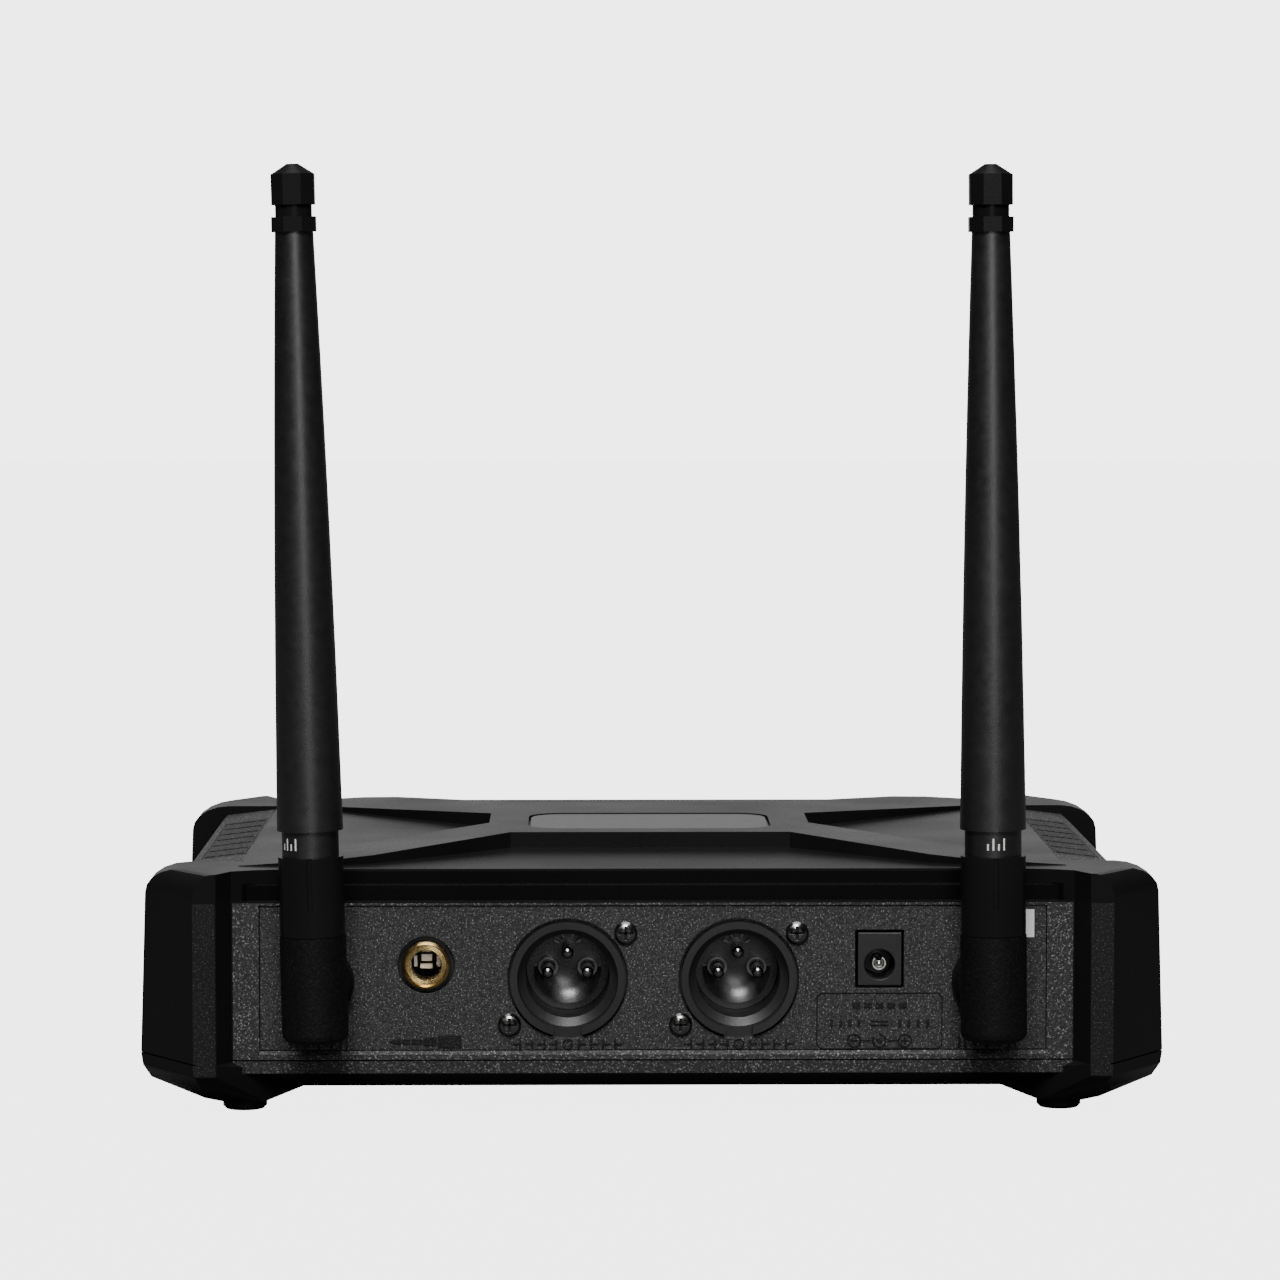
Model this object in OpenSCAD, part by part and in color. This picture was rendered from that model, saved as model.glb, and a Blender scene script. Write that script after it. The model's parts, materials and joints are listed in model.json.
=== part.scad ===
// Two-channel wireless microphone receiver, half-rack size, with two swivelling aerials.
// +X runs to the left of the rear panel, +Y points out of the rear panel, +Z is up.
// The origin is on the table, midway between the sides and between the knobs and the aerials.

/* [Housing] */
// Width across the corner bumpers at the seam
housing_w = 213.4; // [210:0.2:220]
// Depth from the front bumpers to the rear bumpers
housing_d = 160; // [156:1:172]
// Height of the flat top above the table
top_z = 51.3; // [50.5:0.1:53]
// Height of the seam between the two shells
seam_z = 12.2; // [11.6:0.1:12.6]
// Wall thickness of the shells
wall = 2.2; // [1.8:0.1:2.4]
// Height of the raised cross on the lid above the flat top
cross_h = 3.4; // [2:0.1:4]
// Depth of the rear panel behind the rear bumper faces
rear_recess = 5.8; // [5:0.1:6.5]
// Depth of the front panel behind the front bumper faces
front_recess = 2.4; // [2:0.1:3]
// Number of cooling slots in each side of the lid
vent_count = 7; // [3:2:7]

/* [Aerials] */
// Distance of each aerial from the middle of the panel
aerial_x = 69; // [68:0.5:70]
// Height of the aerial swivel axis
aerial_z = 28.4; // [27:0.1:30]
// Distance of the aerial's own axis behind the rear panel
aerial_reach = 14; // [13.5:0.1:16]
// Outward lean of aerial B at rest, in degrees
lean_b = 1.25; // [0:0.05:3]
// Inward lean of aerial A at rest, in degrees
lean_a = 0.5; // [0:0.05:3]
// Length of the rubber whip
whip_len = 120.6; // [90:0.1:130]

/* [Sockets] */
// Distance of each balanced socket from the middle of the panel
xlr_x = 17.65; // [17.4:0.05:18]
// Height of the balanced sockets
xlr_z = 28.9; // [28.5:0.1:29.4]
// Distance of the mix jack from the middle of the panel
jack_x = 46.8; // [46:0.1:48]
// Height of the mix jack and of the power inlet
jack_z = 31.8; // [31:0.1:32.5]
// Bore of the mix jack
jack_bore = 6.4; // [6.35:0.01:6.5]
// Diameter of the centre pin of the power inlet
dc_pin_d = 2.0; // [1.9:0.1:2.5]

/* [Controls] */
// Distance of each volume knob from the middle of the front
knob_x = 52; // [50:0.5:56]
// Diameter of the volume knobs
knob_d = 16; // [14:0.5:18]
// Travel of the power button
button_travel = 1.5; // [0.5:0.1:1.6]

/* [Hidden] */
$fn = 48;
eps = 0.01;
half_w = housing_w / 2;
half_d = housing_d / 2;
bump_len = 24;
bump_y = half_d - bump_len;
side_x = 98;
rear_y = half_d - rear_recess;
front_y = -half_d + front_recess;
panel_half_w = 86.9;
panel_top_z = 45;
aerial_y = rear_y + aerial_reach;
elbow_r = 6.75;
sleeve_r = 6.6;
neck_r = 5.75;
elbow_z0 = aerial_z - 10.3;
elbow_z1 = aerial_z + 11.5;
sleeve_z1 = elbow_z1 + 16.2;
neck_z1 = sleeve_z1 + 5.4;
whip_z1 = neck_z1 + whip_len;
reach_y = aerial_y + elbow_r;
board_z = 13.6;
board_t = 1.6;
board_top = board_z + board_t;
front_board_y = -66;
control_z = 29;
floor_z = 5.5;
floor_in = floor_z + wall;
foot_h = 3.4;
foot_x = 85.2;
foot_y = 60;
post_x = 74;
post_y = [-57, 57];
sides = [-1, 1];
plastic = "#17181a";
smooth = "#1d1e20";
dark = "#101112";
nickel = "#c9cbcd";
brass = "#c9a24a";
green = "#1f5a3a";
white = "#f0f0ee";

// ---- shared helpers ----

// A copy on each side of the middle plane
module both_sides() {
    for (s = sides) scale_x(s) children();
}

// Mirrors to the negative X side when s is -1
module scale_x(s) {
    mirror([s < 0 ? 1 : 0, 0, 0]) children();
}

// All four quadrants
module four_corners() {
    for (s = sides, t = sides)
        mirror([s < 0 ? 1 : 0, 0, 0]) mirror([0, t < 0 ? 1 : 0, 0]) children();
}

// A straight prism along X from a profile drawn as [y, z]
module along_x(half_len) {
    rotate([90, 0, 90]) translate([0, 0, -half_len]) linear_extrude(2 * half_len) children();
}

// A straight prism along Y from a profile drawn as [x, z], from y0 to y1
module along_y(y0, y1) {
    translate([0, y1, 0]) rotate([90, 0, 0]) linear_extrude(y1 - y0) children();
}

// A cylinder along Y from y0 to y1
module rod_y(x, z, r, y0, y1) {
    translate([x, y1, z]) rotate([90, 0, 0]) cylinder(h = y1 - y0, r = r);
}

// A solid of revolution about an axis along Y; the profile is [radius, distance from y0]
module turned_y(x, z, y0) {
    translate([x, y0, z]) rotate([-90, 0, 0]) rotate_extrude() children();
}

// A box from its lowest to its highest corner
module box(a, b) {
    translate(a) cube(b - a);
}

// ---- the two shells ----

bump_chamfer_w = 12.2;
bump_chamfer_d = 18;
bump_face_in = 89.6;
lid_corner_w = 8.5;
lid_corner_h = 5.5;
lid_corner_c = 3.4;
lid_draft = 1.2;
layer = 0.1;
groove_h = 0.3;
groove_d = 0.6;
rim_z = seam_z - groove_h;
chamfer_len = sqrt(pow(bump_chamfer_w, 2) + pow(bump_chamfer_d, 2));
chamfer_nx = bump_chamfer_d / chamfer_len;
chamfer_ny = bump_chamfer_w / chamfer_len;

// Outer corners of one bumper's plan; the side face moves in by sx and the chamfer by sc
function bumper_rim(sx, sc) =
    let (y1 = half_d - bump_chamfer_d + (chamfer_nx * sx - sc) / chamfer_ny)
    let (x1 = half_w - bump_chamfer_w - sc / chamfer_nx)
    [[half_w - sx, bump_y], [half_w - sx, y1], [x1, half_d]];

// Whole plan of one bumper, closed along its slanted inner wall
function bumper_plan(sx, sc) =
    concat([[85, bump_y]], bumper_rim(sx, sc), [[bump_face_in, half_d], [panel_half_w, rear_y]]);

// One upper corner bumper: drafted sides that roll over into the flat top
module lid_bumper() {
    hull() {
        translate([0, 0, seam_z]) linear_extrude(layer) polygon(bumper_plan(0, 0));
        for (a = [0:18:72])
            translate([0, 0, top_z - lid_corner_h * (1 - sin(a)) - layer])
                linear_extrude(layer)
                    polygon(concat([[90, bump_y + 3]],
                        bumper_rim(lid_draft + lid_corner_w * (1 - cos(a)),
                            lid_corner_c * (1 - cos(a)))));
        translate([0, 0, top_z - layer]) linear_extrude(layer)
            polygon(bumper_plan(lid_draft + lid_corner_w, lid_corner_c));
    }
}

// One lower corner pod: bevelled in to the flat pad that carries a foot, with a seam groove on top
module base_pod() {
    translate([0, 0, rim_z - layer]) linear_extrude(groove_h + layer)
        polygon(bumper_plan(groove_d, groove_d));
    hull() {
        translate([0, 0, rim_z - layer]) linear_extrude(layer) polygon(bumper_plan(0, 0));
        translate([0, 0, 9.4]) linear_extrude(layer) polygon(bumper_plan(0.4, 0.3));
        translate([0, 0, 6.6]) linear_extrude(layer)
            polygon([[66.5, bump_y], [half_w - 2, bump_y], [half_w - 2, half_d - 19.5],
                [93, half_d - 3.4], [88, half_d - 3.4]]);
        translate([0, 0, foot_h - 0.6]) linear_extrude(layer)
            polygon([[80.4, bump_y], [93.2, bump_y], [93.2, half_d - 15], [89, half_d - 10.5],
                [80.4, half_d - 10.5]]);
    }
}

brow_z = 48.2;
brow_y = half_d - 7.4;
lid_edge_y = half_d - 10;

// Side view of the lid between the bumpers, drawn as [y, z]
module lid_profile() {
    polygon([[front_y, seam_z], [rear_y, seam_z], [rear_y, panel_top_z],
        [brow_y, panel_top_z], [brow_y, brow_z], [lid_edge_y, brow_z],
        [lid_edge_y, top_z], [-lid_edge_y, top_z], [front_y, 44.4]]);
}

vent_x0 = 86;
vent_x1 = 97.5;
vent_in_z = top_z - 0.7;
vent_out_z = top_z - 2.1;

// Front view of the lid between the bumpers, drawn as [x, z]
module lid_front_view() {
    polygon([[-side_x, seam_z], [side_x, seam_z], [vent_x1, vent_out_z], [vent_x0, vent_in_z],
        [vent_x0 - 0.5, top_z], [-vent_x0 + 0.5, top_z], [-vent_x0, vent_in_z],
        [-vent_x1, vent_out_z]]);
}

// Scalloped fillet between the brow and a bumper's inner wall
module brow_scallop() {
    translate([0, 0, seam_z + 20]) linear_extrude(top_z - seam_z - 20)
        polygon([[66, lid_edge_y - 6], [66, lid_edge_y], [76, lid_edge_y + 0.6],
            [82, lid_edge_y + 1.8], [panel_half_w, rear_y], [88, lid_edge_y - 6]]);
}

cross_x = 30;
cross_y = 31.5;
arm_tip_x = 35;
arm_tip_y = 10;
arm_end_x = 86;

// One quarter of the raised cross, seen from above
module cross_quarter() {
    polygon([[-eps, -eps], [-eps, cross_y], [cross_x, cross_y], [58, lid_edge_y - 10],
        [66, lid_edge_y - 6], [arm_end_x, lid_edge_y - 5], [arm_end_x, 59], [arm_tip_x, arm_tip_y],
        [arm_tip_x, -eps]]);
}

// The raised cross: level in the middle, its arms falling to the flat top at the corners
module raised_cross() {
    intersection() {
        four_corners() translate([0, 0, top_z - 1]) linear_extrude(cross_h + 2) cross_quarter();
        along_y(-half_d, half_d)
            polygon([[-arm_end_x - 2, top_z - 0.8], [arm_end_x + 2, top_z - 0.8],
                [arm_end_x + 2, top_z], [cross_x, top_z + cross_h],
                [-cross_x, top_z + cross_h], [-arm_end_x - 2, top_z]]);
    }
}

badge_y = 8.3;
badge_w = 52;
badge_d = 31;
badge_r = 7;

// The badge outline: an oblong with round corners
module badge_outline(gap) {
    w = badge_w / 2 - badge_r;
    d = badge_d / 2 - badge_r;
    square([2 * (w + badge_r + gap), 2 * d], center = true);
    square([2 * w, 2 * (d + badge_r + gap)], center = true);
    for (x = [-w, w], y = [-d, d]) translate([x, y]) circle(r = badge_r + gap);
}

panel_w = 162.2;
panel_z0 = 14.1;
panel_z1 = 44.1;
ledge_z = 13.2;
ledge_rise = 0.8;
front_z0 = 13.2;
front_z1 = 43;
front_w = 160;
lid_cavity_x = side_x - wall - 0.3;
bump_cavity_x = 101;

// Upper shell with openings for the side strips and both panels, and screw posts
module top_shell() {
    color(smooth) difference() {
        union() {
            difference() {
                union() {
                    intersection() {
                        along_x(side_x) lid_profile();
                        along_y(-half_d, half_d) lid_front_view();
                    }
                    four_corners() lid_bumper();
                    both_sides() brow_scallop();
                    raised_cross();
                }
                lid_cavity();
            }
            lid_posts();
        }
        both_sides() box([strip_x0 - 0.1, -strip_y - 0.1, seam_z], [strip_x1 + 0.1, strip_y + 0.1, top_z]);
        translate([0, badge_y, top_z + cross_h - 0.9]) linear_extrude(2) badge_outline(0.4);
        along_x(panel_w / 2 + 0.1)
            polygon([[rear_y - 8, ledge_z + ledge_rise], [panel_face_y, ledge_z + ledge_rise],
                [rear_y, ledge_z], [rear_y + 1, ledge_z], [rear_y + 1, panel_z1 + 0.1],
                [rear_y - 8, panel_z1 + 0.1]]);
        box([-front_w / 2 - 0.1, -half_d, front_z0 - 0.1],
            [front_w / 2 + 0.1, front_y + 8, front_z1 + 0.1]);
    }
}

// Hollow of the lid, under the flat top and inside the four walls
module lid_cavity() {
    along_x(panel_w / 2 + 1.2)
        polygon([[front_y + wall, seam_z - 1], [rear_y - wall, seam_z - 1],
            [rear_y - wall, panel_top_z - wall], [brow_y - wall, panel_top_z],
            [lid_edge_y - wall, brow_z - 0.6], [lid_edge_y - wall - 2, top_z - wall],
            [-lid_edge_y + 1, top_z - wall], [front_y + wall, 43]]);
    box([-lid_cavity_x, -bump_y, seam_z - 1], [lid_cavity_x, bump_y, vent_out_z - wall]);
    four_corners() box([82, bump_y - 1, seam_z - 1], [bump_cavity_x, bump_y + 10, top_z - 6]);
}

post_r = 3.6;
post_hole_r = 1.15;

// Four posts that take the case screws from below
module lid_posts() {
    for (x = [-post_x, post_x], y = post_y) difference() {
        translate([x, y, seam_z + 8]) cylinder(h = top_z - wall - seam_z - 7.5, r = post_r);
        translate([x, y, seam_z + 7]) cylinder(h = 16, r = post_hole_r);
    }
}

vent_pitch = 11;
vent_w = 2.4;
strip_x0 = vent_x0 + 0.7;
strip_x1 = vent_x1 - 1.6;
slot_inset = 0.4;
strip_y = 36.6;
strip_under = vent_out_z - wall - 0.05;

// Slotted cooling strips let into both sides of the lid, each with a flange below
module vent_strips() {
    slope = (vent_in_z - vent_out_z) / (vent_x1 - vent_x0);
    z0 = vent_in_z - slope * (strip_x0 - vent_x0);
    z1 = vent_in_z - slope * (strip_x1 - vent_x0);
    color(plastic) both_sides() difference() {
        union() {
            along_y(-strip_y, strip_y)
                polygon([[strip_x0, strip_under - 0.5], [strip_x1, strip_under - 0.5], [strip_x1, z1],
                    [strip_x0, z0]]);
            box([strip_x0 - 1.2, -strip_y - 1.2, strip_under - 1.2],
                [lid_cavity_x - 0.1, strip_y + 1.2, strip_under]);
        }
        for (i = [0:vent_count - 1])
            translate([0, (i - (vent_count - 1) / 2) * vent_pitch, 0])
                box([strip_x0 + slot_inset, -vent_w / 2, strip_under - 2],
                    [strip_x1 - slot_inset, vent_w / 2, top_z]);
    }
}

strip_z = 9.3;
base_edge_y = 66;

// Side view of the tray between the pods, drawn as [y, z]
module base_profile() {
    polygon([[front_y + groove_d, seam_z], [front_y + groove_d, rim_z], [front_y, rim_z],
        [front_y, strip_z], [-base_edge_y, floor_z], [base_edge_y, floor_z], [rear_y, strip_z],
        [rear_y, rim_z], [rear_y - groove_d, rim_z], [rear_y - groove_d, seam_z]]);
}

standoff_x = [-66, 66];
standoff_y = [-36, 46];

// Lower shell: a tray with four foot pods, board standoffs and bosses for the case screws
module bottom_shell() {
    color(smooth) difference() {
        union() {
            difference() {
                union() {
                    intersection() {
                        along_x(side_x) base_profile();
                        along_y(-half_d, half_d)
                            polygon([[-side_x + groove_d, seam_z], [-side_x + groove_d, rim_z],
                                [-side_x, rim_z], [-side_x, 8], [-side_x + 3, floor_z - 1],
                                [side_x - 3, floor_z - 1], [side_x, 8], [side_x, rim_z],
                                [side_x - groove_d, rim_z], [side_x - groove_d, seam_z]]);
                    }
                    four_corners() base_pod();
                }
                base_cavity();
            }
            for (x = standoff_x, y = standoff_y)
                translate([x, y, floor_in - 0.5]) cylinder(h = board_z - floor_in + 0.5, r = 3);
            for (x = [-post_x, post_x], y = post_y)
                translate([x, y, floor_in - 0.5]) cylinder(h = seam_z + 7.9 - floor_in + 0.5, r = post_r);
        }
        for (x = standoff_x, y = standoff_y)
            translate([x, y, floor_in + 0.6]) cylinder(h = 20, r = 1.1);
        for (x = [-post_x, post_x], y = post_y) {
            translate([x, y, 0]) cylinder(h = 40, r = 1.6);
            translate([x, y, 0]) cylinder(h = screw_seat_z, r = 3);
        }
        for (x = [-foot_x, foot_x], y = [-foot_y, foot_y])
            translate([x, y, 0]) cylinder(h = foot_h + 0.4, r = 3.1);
    }
}

screw_seat_z = 9;

// Hollow of the tray
module base_cavity() {
    along_x(lid_cavity_x - 12)
        polygon([[front_y + wall, seam_z + 1], [front_y + wall, strip_z + 1.4],
            [-base_edge_y + 1, floor_in], [base_edge_y - 1, floor_in],
            [rear_y - wall, strip_z + 1.4], [rear_y - wall, seam_z + 1]]);
    box([-lid_cavity_x, -bump_y + 2, 10.2], [lid_cavity_x, bump_y - 2, seam_z + 1]);
}

// ---- rear panel and its sockets ----

panel_t = 2;
panel_face_y = rear_y - 0.5;
panel_back_y = panel_face_y - panel_t;
xlr_hole_r = 12.4;
jack_hole_r = 5.85;
collar_hole_r = 6.6;
dc_x = -46.7;
dc_face_z = jack_z + 1.1;

// Inset plate with the socket cut-outs, and a raised frame under the power inlet
module rear_panel() {
    color(plastic) difference() {
        box([-panel_w / 2, panel_back_y, panel_z0], [panel_w / 2, panel_face_y, panel_z1]);
        for (x = [-xlr_x, xlr_x]) {
            rod_y(x, xlr_z, xlr_hole_r, panel_back_y - 1, rear_y + 1);
            for (s = sides)
                rod_y(x - s * screw_dx, xlr_z + s * screw_dz, 1.6, panel_back_y - 1, rear_y + 1);
        }
        rod_y(jack_x, jack_z, jack_hole_r, panel_back_y - 1, rear_y + 1);
        box([dc_x - 5, panel_back_y - 1, dc_face_z - 6], [dc_x + 5, rear_y + 1, dc_face_z + 6]);
        for (x = [-aerial_x, aerial_x])
            rod_y(x, aerial_z, collar_hole_r, panel_back_y - 1, rear_y + 1);
    }
}

xlr_lip = 0.8;
xlr_bore_r = 8.7;
xlr_mouth_r = 10.4;
xlr_ring_r = 11.85;
xlr_floor_y = rear_y - 16;
xlr_back_y = rear_y - 22;
screw_dx = 12;
screw_dz = 9.5;
pin_gap = 4.1;
pin_r = 1.2;
pin_rise = 0.75;
pin_spots = [[-pin_gap, pin_rise], [pin_gap, pin_rise], [0, pin_gap + pin_rise]];

// Moulded shell of a balanced socket: a stepped cup behind a flange with two screw ears
module xlr_shell(x) {
    color(dark) difference() {
        union() {
            rod_y(x, xlr_z, xlr_ring_r, xlr_back_y, rear_y + xlr_lip);
            box([x - 15.4, panel_back_y - 2.2, xlr_z - 13], [x + 15.4, panel_back_y, xlr_z + 13]);
        }
        turned_y(x, xlr_z, xlr_back_y)
            polygon([[0, 2], [xlr_bore_r, 2], [xlr_bore_r, 17.2], [xlr_mouth_r, 18.2],
                [xlr_mouth_r, 24], [0, 24]]);
        box([x - 2.9, rear_y - 2.6, xlr_z - 13.5], [x + 2.9, rear_y + 2, xlr_z - 9]);
        for (s = sides)
            rod_y(x - s * screw_dx, xlr_z + s * screw_dz, 1.15, panel_back_y - 3, panel_back_y + 1);
        for (p = pin_spots)
            rod_y(x + p[0], xlr_z + p[1], pin_r + 0.02, xlr_back_y - 1, xlr_back_y + 3);
    }
}

// Insulating insert: a floor with a half-disc step and a collar round each pin
module xlr_insert(x) {
    color(plastic) difference() {
        union() {
            rod_y(x, xlr_z, xlr_bore_r - 0.1, xlr_back_y + 2, xlr_floor_y);
            intersection() {
                rod_y(x, xlr_z, xlr_bore_r - 0.1, xlr_floor_y - 1, xlr_floor_y + 1);
                box([x - 10, xlr_floor_y - 1, xlr_z + pin_rise],
                    [x + 10, xlr_floor_y + 2, xlr_z + 10]);
            }
            for (p = pin_spots)
                rod_y(x + p[0], xlr_z + p[1], 2.1, xlr_floor_y - 1, xlr_floor_y + 1.8);
        }
        for (p = pin_spots)
            rod_y(x + p[0], xlr_z + p[1], pin_r + 0.02, xlr_back_y, rear_y);
    }
}

pin_tip_y = rear_y - 4;

// Three contact pins with rounded ends and solder tails that bend down to the board
module xlr_pins(x) {
    color(nickel) for (p = pin_spots) {
        turned_y(x + p[0], xlr_z + p[1], xlr_back_y - 1.5)
            polygon([[0, 0], [pin_r, 0], [pin_r, pin_tip_y - xlr_back_y + 0.8],
                [0.85, pin_tip_y - xlr_back_y + 1.3], [0.4, pin_tip_y - xlr_back_y + 1.5],
                [0, pin_tip_y - xlr_back_y + 1.5]]);
        box([x + p[0] - 0.5, xlr_back_y - 2.1 - p[1] / 2, board_z - 1],
            [x + p[0] + 0.5, xlr_back_y - 1.3 - p[1] / 2, xlr_z + p[1] + 0.6]);
        box([x + p[0] - 0.5, xlr_back_y - 2.1 - p[1] / 2, xlr_z + p[1] - 0.6],
            [x + p[0] + 0.5, xlr_back_y - 1, xlr_z + p[1] + 0.6]);
    }
}

// One cross-recessed pan-head screw along Y, its head resting at y
module panel_screw(x, y, z) {
    difference() {
        union() {
            turned_y(x, z, y)
                polygon([[0, 0], [2.4, 0], [2.4, 0.55], [1.9, 1.15], [1.1, 1.5], [0, 1.5]]);
            rod_y(x, z, 1.1, y - 6.5, y + 0.2);
        }
        box([x - 1.5, y + 0.6, z - 0.33], [x + 1.5, y + 2, z + 0.33]);
        box([x - 0.33, y + 0.6, z - 1.5], [x + 0.33, y + 2, z + 1.5]);
    }
}

// The four screws that hold the balanced sockets
module xlr_screws() {
    color(nickel) for (x = [-xlr_x, xlr_x], s = sides)
        panel_screw(x - s * screw_dx, panel_face_y, xlr_z + s * screw_dz);
}

jack_r = jack_bore / 2;
jack_nose_r = 5.0;
jack_nose_y = rear_y + 0.9;
jack_body_y1 = panel_back_y - 0.1;
jack_body_y0 = jack_body_y1 - 26;

// Brass threaded nose of the mix jack
module jack_bushing() {
    color(brass) turned_y(jack_x, jack_z, jack_body_y1 - 4)
        polygon([[jack_r, 0], [jack_nose_r - 0.8, 0], [jack_nose_r - 0.8, 4], [jack_nose_r, 4.2],
            [jack_nose_r, jack_nose_y - jack_body_y1 + 3.4],
            [jack_nose_r - 0.6, jack_nose_y - jack_body_y1 + 4],
            [jack_r + 1.2, jack_nose_y - jack_body_y1 + 4],
            [jack_r + 0.9, jack_nose_y - jack_body_y1 + 3.2],
            [jack_r, jack_nose_y - jack_body_y1 + 3.2]]);
}

// Moulded body of the mix jack, open along the plug's path
module jack_body() {
    color(dark) difference() {
        box([jack_x - 8, jack_body_y0, board_top], [jack_x + 8, jack_body_y1, jack_z + 7.5]);
        rod_y(jack_x, jack_z, jack_r + 0.5, jack_body_y0 + 2, jack_body_y1 + 1);
        rod_y(jack_x, jack_z, jack_nose_r - 0.75, jack_body_y1 - 4.05, jack_body_y1 + 1);
        box([jack_x - 6.4, jack_body_y0 + 3, jack_z - 2], [jack_x + 6.4, jack_body_y1 - 6, jack_z + 2]);
    }
}

// Tip and ring springs, one each side of the plug's path
module jack_springs() {
    color(nickel) both_halves(jack_x) for (y = [jack_body_y0 + 4, jack_body_y0 + 14])
        along_z(jack_z - 1.4, jack_z + 1.4)
            polygon([[6.2, y], [6.2, y + 5], [3.9, y + 3.2], [3.45, y + 2.4], [3.9, y + 1.6],
                [5.6, y]]);
}

// Copies a shape on both sides of the plane at x
module both_halves(x) {
    translate([x, 0, 0]) both_sides() children();
}

// A straight prism along Z from z0 to z1
module along_z(z0, z1) {
    translate([0, 0, z0]) linear_extrude(z1 - z0) children();
}

// Moulded power inlet with a round socket and a chamfered mouth
module dc_socket() {
    color(dark) difference() {
        union() {
            box([dc_x - 4.5, rear_y - 14, dc_face_z - 5.5], [dc_x + 4.5, rear_y - 0.4, dc_face_z + 5.5]);
            box([dc_x - 4, rear_y - 14, board_top], [dc_x + 4, rear_y - 4, dc_face_z - 5]);
        }
        rod_y(dc_x, jack_z, 3.15, rear_y - 10, rear_y + 1);
        rod_y(dc_x, jack_z, dc_pin_d / 2 + 0.02, rear_y - 15, rear_y - 9);
    }
}

// Centre pin of the power inlet
module dc_pin() {
    r = dc_pin_d / 2;
    color(nickel) turned_y(dc_x, jack_z, rear_y - 15.5)
        polygon([[0, 0], [r, 0], [r, 13.1], [r - 0.4, 13.7], [0, 13.9]]);
}

// ---- aerials ----

collar_r = 7.4;
collar_y1 = aerial_y - elbow_r - 1.6;
collar_in_y = rear_y - 7;
stub_r = 4;
clip_y0 = collar_in_y - 1.3;
stub_y0 = clip_y0 - 1.6;
hub_r = 6.6;

// Round collar fixed in the panel; the aerial's stub turns inside it
module aerial_collar(x) {
    color(plastic) difference() {
        union() {
            turned_y(x, aerial_z, panel_face_y)
                polygon([[0, 0], [collar_r, 0], [collar_r, collar_y1 - panel_face_y - 0.8],
                    [collar_r - 0.8, collar_y1 - panel_face_y], [0, collar_y1 - panel_face_y]]);
            rod_y(x, aerial_z, collar_hole_r - 0.1, collar_in_y, rear_y);
        }
        rod_y(x, aerial_z, stub_r + 0.05, collar_in_y - 1, collar_y1 + 1);
    }
}

nut_y0 = panel_back_y - 2.8;

// Hexagon nuts that clamp both collars from inside the panel
module collar_nuts() {
    color(nickel) for (x = [-aerial_x, aerial_x]) difference() {
        translate([x, panel_back_y - 0.05, aerial_z]) rotate([90, 0, 0])
            cylinder(h = panel_back_y - 0.05 - nut_y0, r = 9.2, $fn = 6);
        rod_y(x, aerial_z, collar_hole_r - 0.05, nut_y0 - 1, panel_back_y + 1);
    }
}

// Places an aerial part: the swivel centre becomes the origin, leaned outward by lean
module at_swivel(x, lean) {
    translate([x, aerial_y, aerial_z]) rotate([0, lean, 0]) translate([0, -aerial_y, -aerial_z])
        children();
}

// Elbow of an aerial: an upright barrel with a hollow stub that runs into the collar
module aerial_elbow(x, lean) {
    color(plastic) at_swivel(x, lean) difference() {
        union() {
            translate([0, aerial_y, 0]) rotate_extrude()
                polygon([[0, elbow_z0], [4.9, elbow_z0], [6, elbow_z0 + 0.4],
                    [6.6, elbow_z0 + 1.1], [elbow_r, elbow_z0 + 1.9], [elbow_r, elbow_z1],
                    [4, elbow_z1], [4, elbow_z1 + 3], [0, elbow_z1 + 3]]);
            rod_y(0, aerial_z, hub_r, collar_y1 + 0.3, aerial_y - 1);
            rod_y(0, aerial_z, stub_r, stub_y0, aerial_y);
        }
        rod_y(0, aerial_z, 1.6, stub_y0 - 1, aerial_y);
        difference() {
            rod_y(0, aerial_z, stub_r + 1, clip_y0 - 0.05, clip_y0 + 1.05);
            rod_y(0, aerial_z, stub_r - 0.8, clip_y0 - 1, clip_y0 + 2);
        }
    }
}

// Spring clip in the groove at the inner end of the stub
module aerial_clip(x) {
    color(nickel) difference() {
        rod_y(x, aerial_z, 5.8, clip_y0, clip_y0 + 1);
        rod_y(x, aerial_z, stub_r - 0.78, clip_y0 - 1, clip_y0 + 2);
        box([x - 1.6, clip_y0 - 1, aerial_z - 8], [x + 1.6, clip_y0 + 2, aerial_z]);
    }
}

slot_len = 10.7;
slot_r = 0.55;

// Smooth sleeve between elbow and whip, with a narrow slot open at its top
module aerial_sleeve(x, lean) {
    color(smooth) at_swivel(x, lean) difference() {
        translate([0, aerial_y, elbow_z1 + 0.15]) cylinder(h = sleeve_z1 - elbow_z1 - 0.15, r = sleeve_r);
        translate([0, aerial_y, elbow_z1 - 1]) cylinder(h = 4.1, r = 4.02);
        rod_y(0, sleeve_z1 - slot_len + slot_r, slot_r, aerial_y + sleeve_r - 1, aerial_y + 8);
        box([-slot_r, aerial_y + sleeve_r - 1, sleeve_z1 - slot_len + slot_r],
            [slot_r, aerial_y + 8, sleeve_z1 + 1]);
    }
}

whip_r0 = 6.7;
// Radius of the whip at a height h above its lower end
function whip_r(h) = whip_r0 - 0.013 * h - 0.000087 * h * h;
whip_steps = 10;

// Rubber whip: a narrow printed neck below a long gently curved taper
module aerial_whip(x, lean) {
    color(dark) at_swivel(x, lean) translate([0, aerial_y, 0]) rotate_extrude()
        polygon(concat([[0, sleeve_z1], [neck_r, sleeve_z1], [neck_r, neck_z1]],
            [for (i = [0:whip_steps]) let (h = whip_len * i / whip_steps) [whip_r(h), neck_z1 + h]],
            [[0, whip_z1]]));
}

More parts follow.
